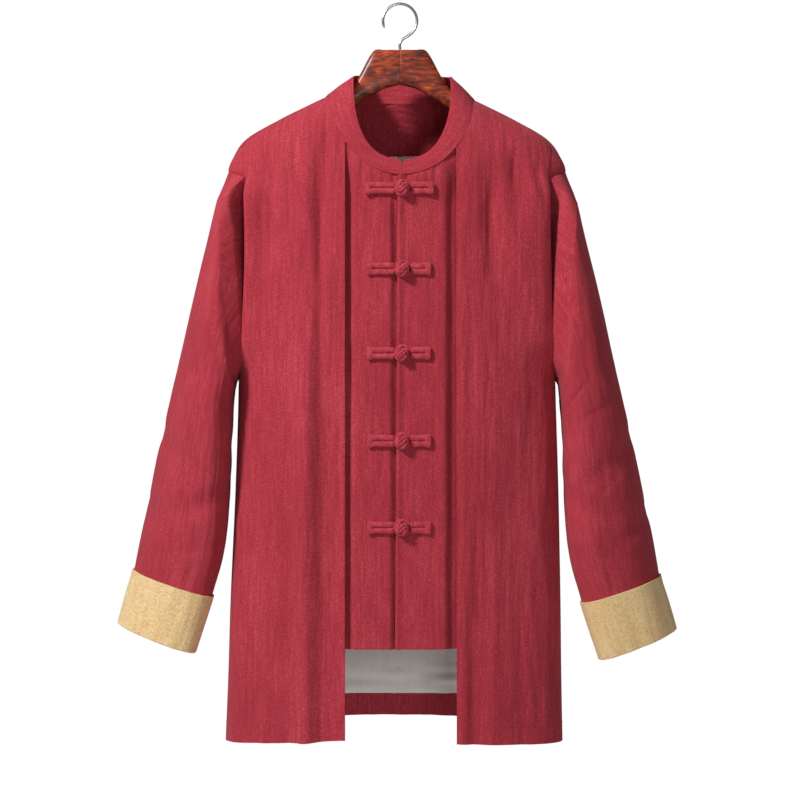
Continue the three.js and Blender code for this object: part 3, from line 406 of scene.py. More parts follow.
def woven(name, deep, middle, light, warp, slub, weft, wash, relief, constants):
    """A woven cloth. Its tone is the sum of noises stretched along the threads: fine warp
    streaks, long slubs, short weft slubs and a broad washed-out field, each with its own
    strength. The same noises and the weave's crossing waves lift its surface."""
    material, nodes, surface = new_material(name, constants)
    place = nodes.node("UVMap", {"uv_map": "cloth"}, {})

    def threads(across, along, detail, start):
        spread = {0: place, 1: (across, along, 0), 2: (start, start, 0)}
        moved = place.node("VectorMath", {"operation": "MULTIPLY_ADD"}, spread)
        noise = {"Vector": moved, "Scale": 1.0, "Detail": detail, "Roughness": 0.62}
        return place.node("TexNoise", {"noise_dimensions": "2D"}, noise) - 0.5

    fine = threads(1100, 150, 2.0, 3)
    long_slub = threads(240, 22, 3.0, 17)
    short_slub = threads(110, 1100, 2.0, 31)
    field = threads(9, 5, 4.0, 47)
    grain = threads(520, 420, 2.0, 59)
    tone = fine * warp + long_slub * slub + short_slub * weft + field * wash + grain * 0.55 + 0.5
    tone.ramp((0.0, deep), (0.5, middle), (1.0, light)).into(surface, "Base Color")
    (field * 0.2 + grain * 0.1 + constants["Roughness"]).into(surface, "Roughness")
    across, along = (place.node("SeparateXYZ", {}, {0: place}, output=k) * YARN_WAVES
                     for k in (0, 1))
    weave = across.math("SINE", across) + along.math("SINE", along)
    height = weave * 0.25 + fine * 1.4 + long_slub * 0.7 + short_slub * 1.2 + grain * 1.6
    bump = {"Strength": relief, "Distance": BUMP_HEIGHT, "Height": height}
    place.node("Bump", {}, bump).into(surface, "Normal")
    return material


RED_CLOTH = woven(
    "red slubby linen", colour(118, 22, 34), colour(172, 48, 62), colour(214, 92, 104),
    warp=0.4, slub=0.42, weft=0.3, wash=0.4, relief=0.4,
    constants={"Roughness": 0.9, "Specular IOR Level": 0.25, "Sheen Weight": 0.18,
               "Sheen Roughness": 0.5, "Sheen Tint": colour(235, 150, 155)})

# Back: one panel of the red linen, cut in one from the neck over both shoulders, where it
# comes a little way down the front, to the hem. It hangs on the hanger's two arms and is sewn
# to the fronts along the shoulder and side seams, and to the sleeves round the armholes.
NECK_CENTRE, NECK_HALF_WIDTH = 2.5, 93.5
NECK_SIDE_Z = {-1: -120, 1: -127}
NECK_FRONT, NECK_BACK = -236, -122
SHOULDER_SEAM_FORWARD, SHOULDER_SEAM_END = 18, -235
UNDERARM = -500
BACK_HEM, SIDE_HEM = -968, -984
ARMHOLE_TOP = -150
ARMHOLE_EDGE = np.array([  # height, distance from the body's centre line
    (ARMHOLE_TOP, 206), (-195, 206), (-235, 202), (-300, 200), (-400, 201), (-460, 205),
    (-490, 209.5), (UNDERARM, 212),
])
CAP_TURN = [-1, -0.5, 0, 0.5, 1]
CAP_Z = [-235, -227.5, -223, -227.5, -235]
CAP_CENTRE_Z = [-204, -213, -222, -231, -241]
SHOULDER_SHARES = [0, 0.16, 0.34, 0.54, 0.76, 1]
ARMHOLE_ROWS = [-255, -290, -330, -370, -410, -447, -480, UNDERARM]
SIDE_ROWS = [-535, -585, -640, -700, -760, -820, -880, -935]
EASE = 20
ARMHOLE_SINK, SINK_WIDTH, SEAM_DIP, DIP_WIDTH = 24, 4.0, 0.9, 2.2
SINK_STARTS, SINK_ENDS = (-224, -300), (-440, UNDERARM)
ROWS_BETWEEN = [10, 7, 8, 12]  # two corners of the shoulder, the cap, the armhole, the side
BACK_COLUMNS, BACK_CROWDING, BACK_RIPPLE, BACK_SEED = 76, 1.12, 1.25, 20


def front_neck(side, turn):
    """The neckline on the front: half an ellipse in the front view, from the centre (0) to
    the shoulder (1). Gives x, height and length of cloth."""
    angle = turn * np.pi / 2
    x = NECK_CENTRE + side * NECK_HALF_WIDTH * np.sin(angle)
    z = NECK_SIDE_Z[side] - (NECK_SIDE_Z[side] - NECK_FRONT) * np.cos(angle)
    return x, z, length_at_reach(z, np.abs(x - ring_size(z, 1)))


def crossing(values, at):
    """The first place where the values turn from below 0 to 0 or more."""
    i = max(int(np.argmax(values >= 0)), 1)
    return np.interp(0, [values[i - 1], values[i]], [at[i - 1], at[i]])


def armhole_reach(z):
    """Distance of the armhole's edge from the body's centre line at a height."""
    return read_table(ARMHOLE_EDGE, z)[..., 0]


def armhole_sink(z):
    """How deep the armhole's seam lies behind the body's round face."""
    return ARMHOLE_SINK * window(z, SINK_STARTS, SINK_ENDS)


def seam_dip(distance, z):
    """The lift beside a seam: the cloth turns in to it over two millimetres, and along the
    armhole it turns in deeply, over a few millimetres."""
    dip = -SEAM_DIP * np.exp(-((distance / DIP_WIDTH) ** 2))
    return dip - armhole_sink(z) * np.exp(-((distance / SINK_WIDTH) ** 2))


def seam_length(z):
    """Length of cloth to the front's edge at the shoulder seam and the armhole."""
    seam = length_at_depth(z, SHOULDER_SEAM_FORWARD)
    armhole = length_at_reach(z, armhole_reach(z))
    nearer = np.minimum(seam, armhole)
    return np.where(z > ARMHOLE_TOP, seam, np.where(z < SHOULDER_SEAM_END, armhole, nearer))


def cap_length(turn, z):
    """Length of cloth on the armhole's top, from the end of the shoulder seam (-1) over the
    ridge (0) to the same place behind (1)."""
    low = np.full_like(z, SHOULDER_SEAM_END)
    end = length_at_reach(low, armhole_reach(low), turn > 0)
    return side_length(z) + (end - side_length(low)) * np.abs(turn)


NECK_SEAM_TURN, NECK_SEAM_Z, NECK_SEAM_LENGTH = {}, {}, {}
for side in (-1, 1):
    turns = np.linspace(0, 1, 2001)
    _, neck_z, neck_length = front_neck(side, turns)
    past_seam = neck_length - length_at_depth(neck_z, SHOULDER_SEAM_FORWARD)
    NECK_SEAM_TURN[side] = crossing(past_seam, turns)
    _, NECK_SEAM_Z[side], NECK_SEAM_LENGTH[side] = (
        float(v) for v in front_neck(side, np.array(NECK_SEAM_TURN[side])))


def back_half(side, columns):
    """Lengths and heights of one half of the back. Its rows start at the shoulder seam, the
    armhole and the side seam, and settle towards their height at the centre: the difference
    falls off as an exponential of the distance, over 20 mm, and at the hem as a square."""
    shoulder = lerp(NECK_SEAM_Z[side], SHOULDER_SEAM_END, np.array(SHOULDER_SHARES))
    edge_z = np.array([*shoulder, *CAP_Z[1:], *ARMHOLE_ROWS, *SIDE_ROWS, SIDE_HEM])
    by_neck = np.linspace(NECK_BACK, CAP_CENTRE_Z[0], len(shoulder))
    centre_z = np.array([*by_neck, *CAP_CENTRE_Z[1:], *ARMHOLE_ROWS, *SIDE_ROWS, BACK_HEM])
    corner = np.arange(len(edge_z))
    steps = [len(shoulder) - 1, len(CAP_Z) - 1, len(ARMHOLE_ROWS), len(SIDE_ROWS) + 1]
    cap, armhole, side_seam = np.cumsum(steps)[:3]
    between = np.repeat(ROWS_BETWEEN, steps)
    step = np.concatenate([k + np.arange(n) / n for k, n in enumerate(between)] + [[corner[-1]]])
    z, centre = np.interp(step, corner, edge_z), np.interp(step, corner, centre_z)
    turn = np.interp(step, corner[cap:armhole + 1], CAP_TURN)
    length = np.select(
        [step <= cap, step <= armhole, step < side_seam],
        [seam_length(z), cap_length(turn, z), length_at_reach(z, armhole_reach(z), True)],
        side_length(z)) + SEWN_GAP / 2
    share = np.linspace(0, 1, columns) ** BACK_CROWDING
    span = (total_length(centre) - length)[:, None]
    settled = np.where(step[:, None] > corner[-2], (1 - share) ** 2, np.exp(-span * share / EASE))
    height = centre[:, None] + (z - centre)[:, None] * settled
    return length[:, None] + (total_length(height) - length[:, None]) * share, height


def back_grid():
    """The whole back, from its left edge over the centre to its right edge."""
    points, pattern = [], []
    for side in (-1, 1):
        length, z = back_half(side, BACK_COLUMNS)
        on_front = (length < side_length(z))[..., None]
        lift = seam_dip(length - length[:, :1], z)
        behind, before = (body_point(side, length, z, folds, BACK_RIPPLE, BACK_SEED, lift)
                          for folds in (BACK_FOLDS, FRONT_FOLDS))
        points.append(np.where(on_front, before, behind))
        pattern.append(np.stack([side * (length - total_length(z)), z], axis=-1) / 1000)
    return [np.concatenate([left, right[:, -2::-1]], 1) for left, right in (points, pattern)]


def cloth_panel(name, outer, uv, thickness, material, away, around=False):
    """A panel of even thickness below a grid of outer points."""
    inner = outer - thickness * grid_normals(outer, away, around)
    return closed_shell(name, outer, inner, uv, material, around)


back_points, back_uv = back_grid()
back = cloth_panel("back_panel", back_points, back_uv, CLOTH, RED_CLOTH, from_axis(back_points))
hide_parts("back")
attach(back, "root")

# Outer fronts: the two long panels at the sides of the front, each from the neckline and the
# shoulder seam down to a hem at the same height as the back's. Their free edges are folded
# in and pressed, and stand a few millimetres in front of the inner panels.
FRONT_EDGE = {-1: -71.5, 1: 73.5}
FRONT_HEM = {-1: -970, 1: -975}
FRONT_ROWS, FRONT_COLUMNS, FRONT_RIPPLE, FRONT_SEED = 200, 106, 1.35, 40
ROLL_HEIGHT, ROLL_FROM_SEAM, ROLL_LEAN, LEAN_FROM_SEAM = 10, 16, 3, 8
ROLL_STARTS, ROLL_ENDS = (-222, -262), (-450, UNDERARM)
EDGE_CURL, EDGE_CURL_WIDTH, CURL_STARTS = {-1: 0.8, 1: -1.6}, 5.5, 30
SIDE_NAME = {-1: "left", 1: "right"}


def front_limit(z):
    """Length of cloth to the front's side edge, down to the hem."""
    return np.where(z > UNDERARM + 0.01, seam_length(z), side_length(z))


def armhole_roll(distance, z):
    """The cloth stands up in a soft roll beside the armhole's front edge and leans over the
    seam: both rise steeply from the seam and fall off slowly, x exp(1 - x)."""
    x, u = (np.clip(distance, 0, None) / size for size in (ROLL_FROM_SEAM, LEAN_FROM_SEAM))
    along = window(z, ROLL_STARTS, ROLL_ENDS)
    return ROLL_HEIGHT * x * np.exp(1 - x) * along, ROLL_LEAN * u * np.exp(1 - u) * along


def outer_front_grid(side):
    """One outer front: columns at even shares of the cloth between the free edge and the
    side edge, each from its own place on the neckline down to the hem's curve."""
    def edge_length(z):
        return length_at_reach(z, np.abs(FRONT_EDGE[side] - ring_size(z, 1)))

    share = np.linspace(0, 1, FRONT_COLUMNS)
    _, neck_z, neck_length = front_neck(side, np.linspace(0, 1, 2001) * NECK_SEAM_TURN[side])
    start = edge_length(neck_z)
    reached = np.maximum.accumulate((neck_length - start) / (front_limit(neck_z) - start))
    top = np.interp(share, reached, neck_z)
    top[-1] = NECK_SEAM_Z[side]
    down = np.linspace(0, 1, FRONT_ROWS)[:, None]
    foot = lerp(FRONT_HEM[side], SIDE_HEM, share)
    z = top + (foot - top) * down
    start = edge_length(z)
    length = start + (front_limit(z) - SEWN_GAP / 2 - start) * share
    to_seam = front_limit(z) - length
    roll, lean = armhole_roll(to_seam, z)
    curl = EDGE_CURL[side] * np.exp(-(((length - start) / EDGE_CURL_WIDTH) ** 2))
    lift = roll + curl * smoothstep(0, CURL_STARTS, top - z) + seam_dip(to_seam, z)
    points = body_point(side, length, z, FRONT_FOLDS, FRONT_RIPPLE, FRONT_SEED + side, lift)
    points[..., 0] += side * lean
    return points, np.stack([side * length, z], axis=-1) / 1000


stitched = {}
for side in (-1, 1):
    points, uv = outer_front_grid(side)
    name = "front_outer_" + SIDE_NAME[side]
    panel = cloth_panel(name + "_panel", points, uv, CLOTH, RED_CLOTH, from_axis(points))
    stitched[name] = points
    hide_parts(name)
    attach(panel, "root")

# Inner fronts: two narrower and shorter panels behind the outer ones. They meet at the centre,
# the right one over the left one, and close with the frogs. Their meeting edges are folded
# in and topstitched, and the gathers of the neckline run down from the collar.
INNER_HEM = -853
INNER_REACH_AT_NECK, INNER_REACH, SPREADS = 84, 90, (150, 290)
CLOSURE = {-1: (10, 8), 1: (-3, -6.5)}
INNER_ROWS, INNER_COLUMNS = 190, 66
BEHIND_OUTER = CLOTH + SEAM_GAP
LAPPED = CLOTH + 2 * SEAM_GAP
PANEL_DEPTH = 5.2
VALLEY, FALL_BESIDE_OUTER = 3.2, {-1: 5.0, 1: 7.5}
UNDER_OUTER, FALLS_OVER, LAPS_OVER = (56, 69), (57, 70), (5, 14)
STEPS_BACK_OVER = 70
GATHER_HEIGHT, GATHER_WIDTH, GATHER_LENGTH, GATHER_FADE = 1.9, 4.5, 60, 24
INNER_RIPPLE, MOST_LIFT, PRESSED_EDGE = 0.75, 1.7, 9
CLOSING_EDGE = [(1.3, 3, 3.2), (-0.5, 10.5, 1.6)]  # height, distance from the edge, width


def right_neck_depth(reach):
    """How far behind the body's face the right inner panel lies at the neckline."""
    return 0.1 + (BEHIND_OUTER + 0.9) * smoothstep(*UNDER_OUTER, reach)


def panel_depth(side, reach, below):
    """Depth of an inner panel's face: it steps back below the neckline and falls back further
    beside the outer panel, and the left one lies deeper where the right one laps over it."""
    under = (LAPPED + VALLEY * below) * (1 - smoothstep(*LAPS_OVER, reach)) if side < 0 else 0
    fall = FALL_BESIDE_OUTER[side] * smoothstep(*FALLS_OVER, reach) * below
    return lerp(right_neck_depth(reach), PANEL_DEPTH, below) + under + fall


def inner_front_grid(side):
    """One inner front: columns at even shares between its closing edge and its hidden edge,
    each from the neckline down to the hem. It is lifted by gathers that fade out below the
    collar, by ripples and, on the right, by bells along the pressed closing edge."""
    def place(share, z):
        edge = lerp(*CLOSURE[side], (z - NECK_FRONT) / (INNER_HEM - NECK_FRONT)) * side
        far = lerp(INNER_REACH_AT_NECK, INNER_REACH, smoothstep(*SPREADS, -z))
        return lerp(edge, far, share)

    share = np.linspace(0, 1, INNER_COLUMNS) ** 1.25
    turns = np.linspace(0, 1, 2001)
    neck_x, neck_z, _ = front_neck(side, turns)
    beyond = neck_x[:, None] * side - place(share, neck_z[:, None])
    meets = [0 if column[0] > 0 else crossing(column, turns) for column in beyond.T]
    top = np.interp(meets, turns, neck_z) - SEAM_GAP
    down = (np.linspace(0, 1, INNER_ROWS) ** 1.15)[:, None]
    z = top + (INNER_HEM - top) * down
    reach = place(share, z)
    middle = ring_size(z, 1)
    length = length_at_reach(z, np.abs(reach * side - middle))
    half = np.where(reach * side < middle, -1, 1)
    face = body_point(half, length, z)
    rise = (reach - NECK_CENTRE * side) / NECK_HALF_WIDTH
    neck_turn = np.arcsin(np.clip(rise, 0, 1)) / (np.pi / 2)
    from_neck = front_neck(side, neck_turn)[1] - z
    from_edge = reach - place(0, z)
    gathers = GATHER_HEIGHT * smoothstep(0, 6, from_neck) * np.exp(-from_neck / GATHER_FADE)
    lift = gathers * soft_noise(reach / GATHER_WIDTH + 50, z / GATHER_LENGTH, 60 + side)
    ripples = hand_ripples(reach + 400, z + NOISE_FOOT, 70 + side)
    lift += INNER_RIPPLE * ripples * smoothstep(0, 30, from_neck)
    lift *= smoothstep(0, PRESSED_EDGE, from_edge)
    if side > 0:
        for height, middle_of_bell, width in CLOSING_EDGE:
            lift += height * np.exp(-(((from_edge - middle_of_bell) / width) ** 2))
    below = smoothstep(0, STEPS_BACK_OVER, from_neck)
    depth = panel_depth(side, reach, below) - np.minimum(lift, MOST_LIFT)
    normal = grid_normals(face, from_axis(face))
    return face - depth[..., None] * normal, np.stack([side * reach, z], axis=-1) / 1000


for side in (-1, 1):
    points, uv = inner_front_grid(side)
    name = "front_inner_" + SIDE_NAME[side]
    panel = cloth_panel(name + "_panel", points, uv, CLOTH, RED_CLOTH, from_axis(points))
    stitched[name] = points
    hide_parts(name)
    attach(panel, "root")

# Collar: a low stand collar of two layers of the red linen with a firm cloth between them.
# It is sewn into the neckline, rises all round, and its two round ends meet above the frogs.
COLLAR_CLOTH, COLLAR_SEWN_IN = 2.6, 0.9
COLLAR_START = 0.0008
COLLAR_CENTRE, COLLAR_HALF_WIDTH, COLLAR_SQUARE = 3, 64.5, 2.5
COLLAR_FRONT_Z, COLLAR_SIDE_Z, COLLAR_BACK_Z = -216, -101.5, -81
COLLAR_LEAN_FRONT, COLLAR_LEAN_BACK = 7, 2
COLLAR_PROUD, COLLAR_CORNER = 1.0, 7
NECK_SPLIT = 0.52
COLLAR_STEPS, COLLAR_ROWS, COLLAR_BELLY = 140, 21, 1.0


def neck_place(side, share):
    """Length, height and, on the front, x on the neckline, from the centre of the front (0)
    to that of the back (1): along the front's ellipse, then over the shoulder and behind."""
    turn = np.minimum(share / NECK_SPLIT, 1) * NECK_SEAM_TURN[side]
    front_x, front_z, front_length = front_neck(side, turn)
    along = np.clip((share - NECK_SPLIT) / (1 - NECK_SPLIT), 0, 1)
    span = total_length(np.full_like(share, NECK_BACK)) - NECK_SEAM_LENGTH[side]
    back_z = NECK_BACK + (NECK_SEAM_Z[side] - NECK_BACK) * np.exp(-span * along / EASE)
    full = total_length(back_z)
    back_length = full - (full - NECK_SEAM_LENGTH[side]) * (1 - along)
    on_front = share < NECK_SPLIT
    return (np.where(on_front, front_length, back_length), np.where(on_front, front_z, back_z),
            np.where(on_front, front_x, side * 1e3))


def collar_top(side, share, foot_y):
    """The collar's top edge: a level superellipse in the front view, whose height goes from
    low in front over the side to high at the back, a few millimetres behind its foot."""
    angle, power = share * np.pi, 2 / COLLAR_SQUARE
    fore = np.clip(np.cos(angle), 0, 1) ** power
    aft = np.clip(-np.cos(angle), 0, 1) ** power
    x = COLLAR_CENTRE + side * COLLAR_HALF_WIDTH * np.clip(np.sin(angle), 0, 1) ** power
    y = foot_y + lerp(COLLAR_LEAN_FRONT, COLLAR_LEAN_BACK, share)
    to_front, to_back = COLLAR_FRONT_Z - COLLAR_SIDE_Z, COLLAR_BACK_Z - COLLAR_SIDE_Z
    z = COLLAR_SIDE_Z + to_front * fore + to_back * aft
    return np.stack([x, y, z], axis=-1)


def collar_grid():
    """Straight lines from the neckline up to the top edge, a little bellied, and cut to a
    quarter circle at the top of both ends. The foot reaches a little below the seam."""
    feet, tops = [], []
    for side in (-1, 1):
        share = lerp(COLLAR_START, 1, np.linspace(0, 1, COLLAR_STEPS + 1) ** 1.3)
        length, z, x = neck_place(side, share)
        feet.append(body_point(np.where(x > ring_size(z, 1), 1, side), length, z))
        tops.append(collar_top(side, share, feet[-1][:, 1]))
    foot = np.concatenate([feet[0], feet[1][-2::-1]])
    top = np.concatenate([tops[0], tops[1][-2::-1]])
    rise = top - foot
    height = np.linalg.norm(rise, axis=-1, keepdims=True)
    along = np.cumsum(np.linalg.norm(np.gradient(foot, axis=0), axis=-1))
    from_end = np.minimum(along - along[0], along[-1] - along)[:, None]
    corner = 1 - np.sqrt(1 - (1 - np.clip(from_end / COLLAR_CORNER, 0, 1)) ** 2 * 0.98)
    reach = height - COLLAR_CORNER * corner
    up = np.linspace(0, 1, COLLAR_ROWS)[:, None, None]
    points = foot + rise / height * lerp(-COLLAR_SEWN_IN, reach, up)
    swell = COLLAR_PROUD + COLLAR_BELLY * np.sin(np.pi * up)
    outwards = np.cross(np.gradient(foot, axis=0), rise)
    outwards /= np.linalg.norm(outwards, axis=-1, keepdims=True)
    outwards *= np.sign(np.mean(np.sum(outwards * from_axis(foot), axis=-1)))
    points = points + swell * outwards
    return points, np.stack([(up * reach)[..., 0], along + 0 * up[..., 0]], axis=-1) / 1000


points, uv = collar_grid()
stitched["collar"] = points
collar = cloth_panel("collar_band", points, uv, COLLAR_CLOTH, RED_CLOTH, from_axis(points))
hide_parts("collar")
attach(collar, "root")

# Sleeves: wide tubes of the red linen, set into the armholes, where the cloth turns sharply
# down, and narrowing to the cuffs. Slanting folds cross them below the elbow.
SLEEVE_RINGS = np.array([  # ring, outer reach, height, inner reach, height, front, back, square
    (1, 239, -262, 214.5, -505, 50, 50, 3.4), (2, 254, -315, 215.5, -510, 61, 62, 3.0),
    (3, 274, -396, 216.5, -517, 68, 70, 2.7), (4, 289, -463, 217.5, -527, 71, 74, 2.5),
    (5, 304, -524, 218.5, -548, 71, 75, 2.35), (6, 318, -580, 219.5, -598, 67, 71, 2.25),
    (7, 331, -640, 222.5, -664, 60, 64, 2.2), (8, 344, -700, 229, -729, 52, 55, 2.2),
    (9, 355.5, -758, 246, -790, 43, 46, 2.2), (10, 375, -830, 270, -864, 36, 38, 2.2),
])
SLEEVE_CENTRE, RIGHT_SLEEVE_LONGER = -4, 9
RING_PLACES = 20
SLEEVE_FOLDS = [  # ring, place round it, slant, width, spread, depth
    (6.2, 3.3, 0.14, 0.28, 3.9, 4), (7.1, 6.7, -0.13, 0.24, 3.3, 3.5),
    (7.7, 2.2, 0.11, 0.22, 3.3, 3), (6.4, 14.4, 0.14, 0.28, 3.9, 4),
    (7.3, 16.7, -0.11, 0.24, 3.3, 3.5),
    (5.1, 5.2, 0.1, 0.12, 2.0, 1.2), (6.7, 4.6, 0.2, 0.1, 1.8, 1.1),
    (8.2, 5.6, -0.12, 0.12, 2.2, 1.1), (4.3, 7.0, 0.16, 0.13, 1.6, 1.3),
    (5.4, 16.0, -0.12, 0.13, 2.0, 1.3), (8.0, 14.2, 0.12, 0.13, 2.0, 1.2),
]
SLEEVE_AROUND, SLEEVE_DOWN, HEAD_DOWN, SLEEVE_RIPPLE = 150, 140, 29, 1.2
RING_LENGTH_MM, PLACE_LENGTH_MM = 76, 26
ARMHOLE_GAP, HEAD_BULGE, BULGE_BEHIND, BULGE_RING, SLEEVE_TURN = 0.2, 12, 0.6, 0.8, 22
FRONT_OF_HEAD = (0.6, 2.0), (7.6, 9.6)
BACK_OF_HEAD = (10.4, 12.4), (16.6, 18.6)
SLOT_DEPTH, SLOT_PLACES, SLOT_RINGS = 30, (1.6, 5), ((0, 0.12), (0.34, 0.62))


def sleeve_oval(side, ring, place):
    """An upright superellipse through the ring's outer and inner points."""
    outer, outer_z, inner, inner_z, front, back, square = read_table(SLEEVE_RINGS, ring).T
    outer, outer_z, inner, inner_z, front, back, square = (
        v.T for v in (outer, outer_z, inner, inner_z, front, back, square))
    angle, power = 2 * np.pi * place / RING_PLACES, 2 / square
    up, fore = squared(np.cos(angle), power), squared(np.sin(angle), power)
    lower = RIGHT_SLEEVE_LONGER * ring / 10 if side > 0 else 0 * ring
    reach = lerp(inner, outer, (up + 1) / 2)
    z = lerp(inner_z, outer_z, (up + 1) / 2) - lower
    return np.stack([SLEEVE_CENTRE + side * reach, -fore * np.where(fore > 0, front, back), z], -1)


def armhole_point(side, place):
    """The armhole's edge at a place round the sleeve, 0 on the shoulder ridge, 10 under the
    arm: over the top of the armhole, then down its front or its back edge."""
    on_back = place > RING_PLACES / 2
    row = np.where(on_back, RING_PLACES - place, place)
    z = np.interp(row, np.arange(11), [*CAP_Z[2:0:-1], CAP_Z[0], *ARMHOLE_ROWS])
    turn = np.where(on_back, 1, -1) * row / 2
    low = length_at_reach(z, armhole_reach(z), on_back)
    length = np.where(row <= 2, cap_length(np.clip(turn, -1, 1), z), low)
    length = np.where(row > 9.999, side_length(z), length)
    return body_point(side, length, z, lift=-SEAM_DIP - armhole_sink(z))


def sleeve_fold_sum(ring, place):
    """Sum of the sleeve's folds: each is a bell across a slanting line and along it."""
    total = np.zeros(np.broadcast(ring, place).shape)
    for at, middle, slant, width, spread, depth in SLEEVE_FOLDS:
        turn = np.abs(place - middle)
        around = np.minimum(turn, RING_PLACES - turn)
        along = ring - at - (place - middle) * slant
        total -= depth * np.exp(-((along / width) ** 2) - (around / spread) ** 2)
    return total


def sleeve_head(ring, place):
    """How far the sleeve's head bulges forward, or back, beside the armhole, x exp(1 - x):
    steeply up from the seam, highest most of a ring from it, on the front and less on the
    back. On the front the cloth first runs back beside the seam, and leaves a deep slot."""
    x = ring / BULGE_RING
    front, back = window(place, *FRONT_OF_HEAD), window(place, *BACK_OF_HEAD)
    slot = SLOT_DEPTH * front * smoothstep(*SLOT_PLACES, place) * window(ring, *SLOT_RINGS)
    return x * np.exp(1 - x) * HEAD_BULGE * (front - BULGE_BEHIND * back) - slot


def sleeve_grid(side, rings, place):
    """Points and normals of the sleeve's outer face for rings from 0, the armhole, to 10. Up
    to ring 1 a cubic leads from the armhole's edge into the rings. The arm hangs turned a
    little outwards: its outer side lies back and its inner side forward."""
    ring, place = np.broadcast_arrays(rings[:, None].astype(float), place[None].astype(float))
    first = armhole_point(side, place[0])
    one, two = (sleeve_oval(side, np.full(place[0].shape, float(k)), place[0]) for k in (1, 2))
    down = one - first
    first = first + ARMHOLE_GAP * down / np.linalg.norm(down, axis=-1, keepdims=True)
    t = np.clip(ring, 0, 1)[..., None]
    slope = lerp(one - first, (two - first) / 2, 0.5)
    lead = ((2 * t**3 - 3 * t**2 + 1) * first + (t**3 - 2 * t**2 + t) * (one - first)
            + (3 * t**2 - 2 * t**3) * one + (t**3 - t**2) * slope)
    points = np.where(ring[..., None] < 1, lead, sleeve_oval(side, np.maximum(ring, 1.0), place))
    turned = SLEEVE_TURN * np.cos(2 * np.pi * place / RING_PLACES) * smoothstep(0.6, 2.2, ring)
    points = points + (turned - sleeve_head(ring, place))[..., None] * np.array([0, 1.0, 0])
    normal = grid_normals(points, points - points.mean(axis=1, keepdims=True), around=True)
    seam_ease = smoothstep(0, 0.5, ring)
    across, along = place * PLACE_LENGTH_MM + 300, ring * RING_LENGTH_MM
    ripple = SLEEVE_RIPPLE * seam_ease * hand_ripples(across, along, 90 + side)
    out = sleeve_fold_sum(ring, place) * smoothstep(0.5, 1.5, ring) + ripple
    return points + out[..., None] * normal, normal


def around_uv(rings, around, ring_length, place_length):
    """Lengths of cloth along and round a sleeve, with the first place repeated at the end."""
    across = np.linspace(0, RING_PLACES, around + 1) * place_length
    return np.stack(np.broadcast_arrays(across[None], -rings[:, None] * ring_length), -1) / 1000


sleeve_places = np.linspace(0, RING_PLACES, SLEEVE_AROUND, endpoint=False)
for side in (-1, 1):
    rings = np.concatenate([np.linspace(0, 1, HEAD_DOWN + 1)[:-1],
                            np.linspace(1, 10, SLEEVE_DOWN - HEAD_DOWN)])
    points, normal = sleeve_grid(side, rings, sleeve_places)
    name = "sleeve_" + SIDE_NAME[side]
    uv = around_uv(rings, SLEEVE_AROUND, RING_LENGTH_MM, PLACE_LENGTH_MM)
    inner = points - CLOTH * normal
    sleeve = closed_shell(name + "_tube", points, inner, uv, RED_CLOTH, around=True)
    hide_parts(name)
    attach(sleeve, "root")

# Cuffs: each sleeve ends in a wide facing of coarse tan linen, turned back over the outside
# of the sleeve. The cloth goes down outside, round the fold and up again inside.
TAN_CLOTH = woven(
    "coarse tan linen", colour(224, 174, 114), colour(255, 217, 156), colour(255, 242, 208),
    warp=0.8, slub=0.5, weft=0.9, wash=0.6, relief=0.9,
    constants={"Roughness": 0.92, "Specular IOR Level": 0.2, "Sheen Weight": 0.12,
               "Sheen Roughness": 0.5, "Sheen Tint": colour(255, 235, 205)})
CUFF_OUT, CUFF_GAP, CUFF_LIP = 2.7, 0.5, 1.5
CUFF_INSIDE, CUFF_INSIDE_FACE = -2.0, -2.8
CUFF_AROUND, CUFF_TOP_RING, CUFF_INSIDE_RING = 120, 9, 9.35
CUFF_RING_MM, CUFF_PLACE_MM = 85, 13


def cuff_section():
    """The cuff's section as rings along the sleeve, distances out from its face and distances
    past its end: a long U of cloth, round at its fold and at its two edges."""
    down = np.linspace(0, 1, 26)
    half_turn = np.linspace(np.pi / 2, -np.pi / 2, 9)
    middle, radius = (CUFF_OUT + CUFF_INSIDE_FACE) / 2, (CUFF_OUT - CUFF_INSIDE_FACE) / 2
    inner_middle, inner_radius = (CUFF_GAP + CUFF_INSIDE) / 2, (CUFF_GAP - CUFF_INSIDE) / 2
    rings = [lerp(CUFF_TOP_RING, 10, down), np.full(9, 10.0), lerp(10, CUFF_INSIDE_RING, down),
             lerp(CUFF_INSIDE_RING, 10, down), np.full(9, 10.0), lerp(10, CUFF_TOP_RING, down)]
    out = [CUFF_OUT + 0 * down, middle + radius * np.sin(half_turn), CUFF_INSIDE_FACE + 0 * down,
           CUFF_INSIDE + 0 * down, inner_middle - inner_radius * np.sin(half_turn),
           CUFF_GAP + 0 * down]
    past = [0 * down, CUFF_LIP * np.cos(half_turn), 0 * down,
            0 * down, 0.3 * np.cos(half_turn), 0 * down]
    return np.concatenate(rings), np.concatenate(out), np.concatenate(past)


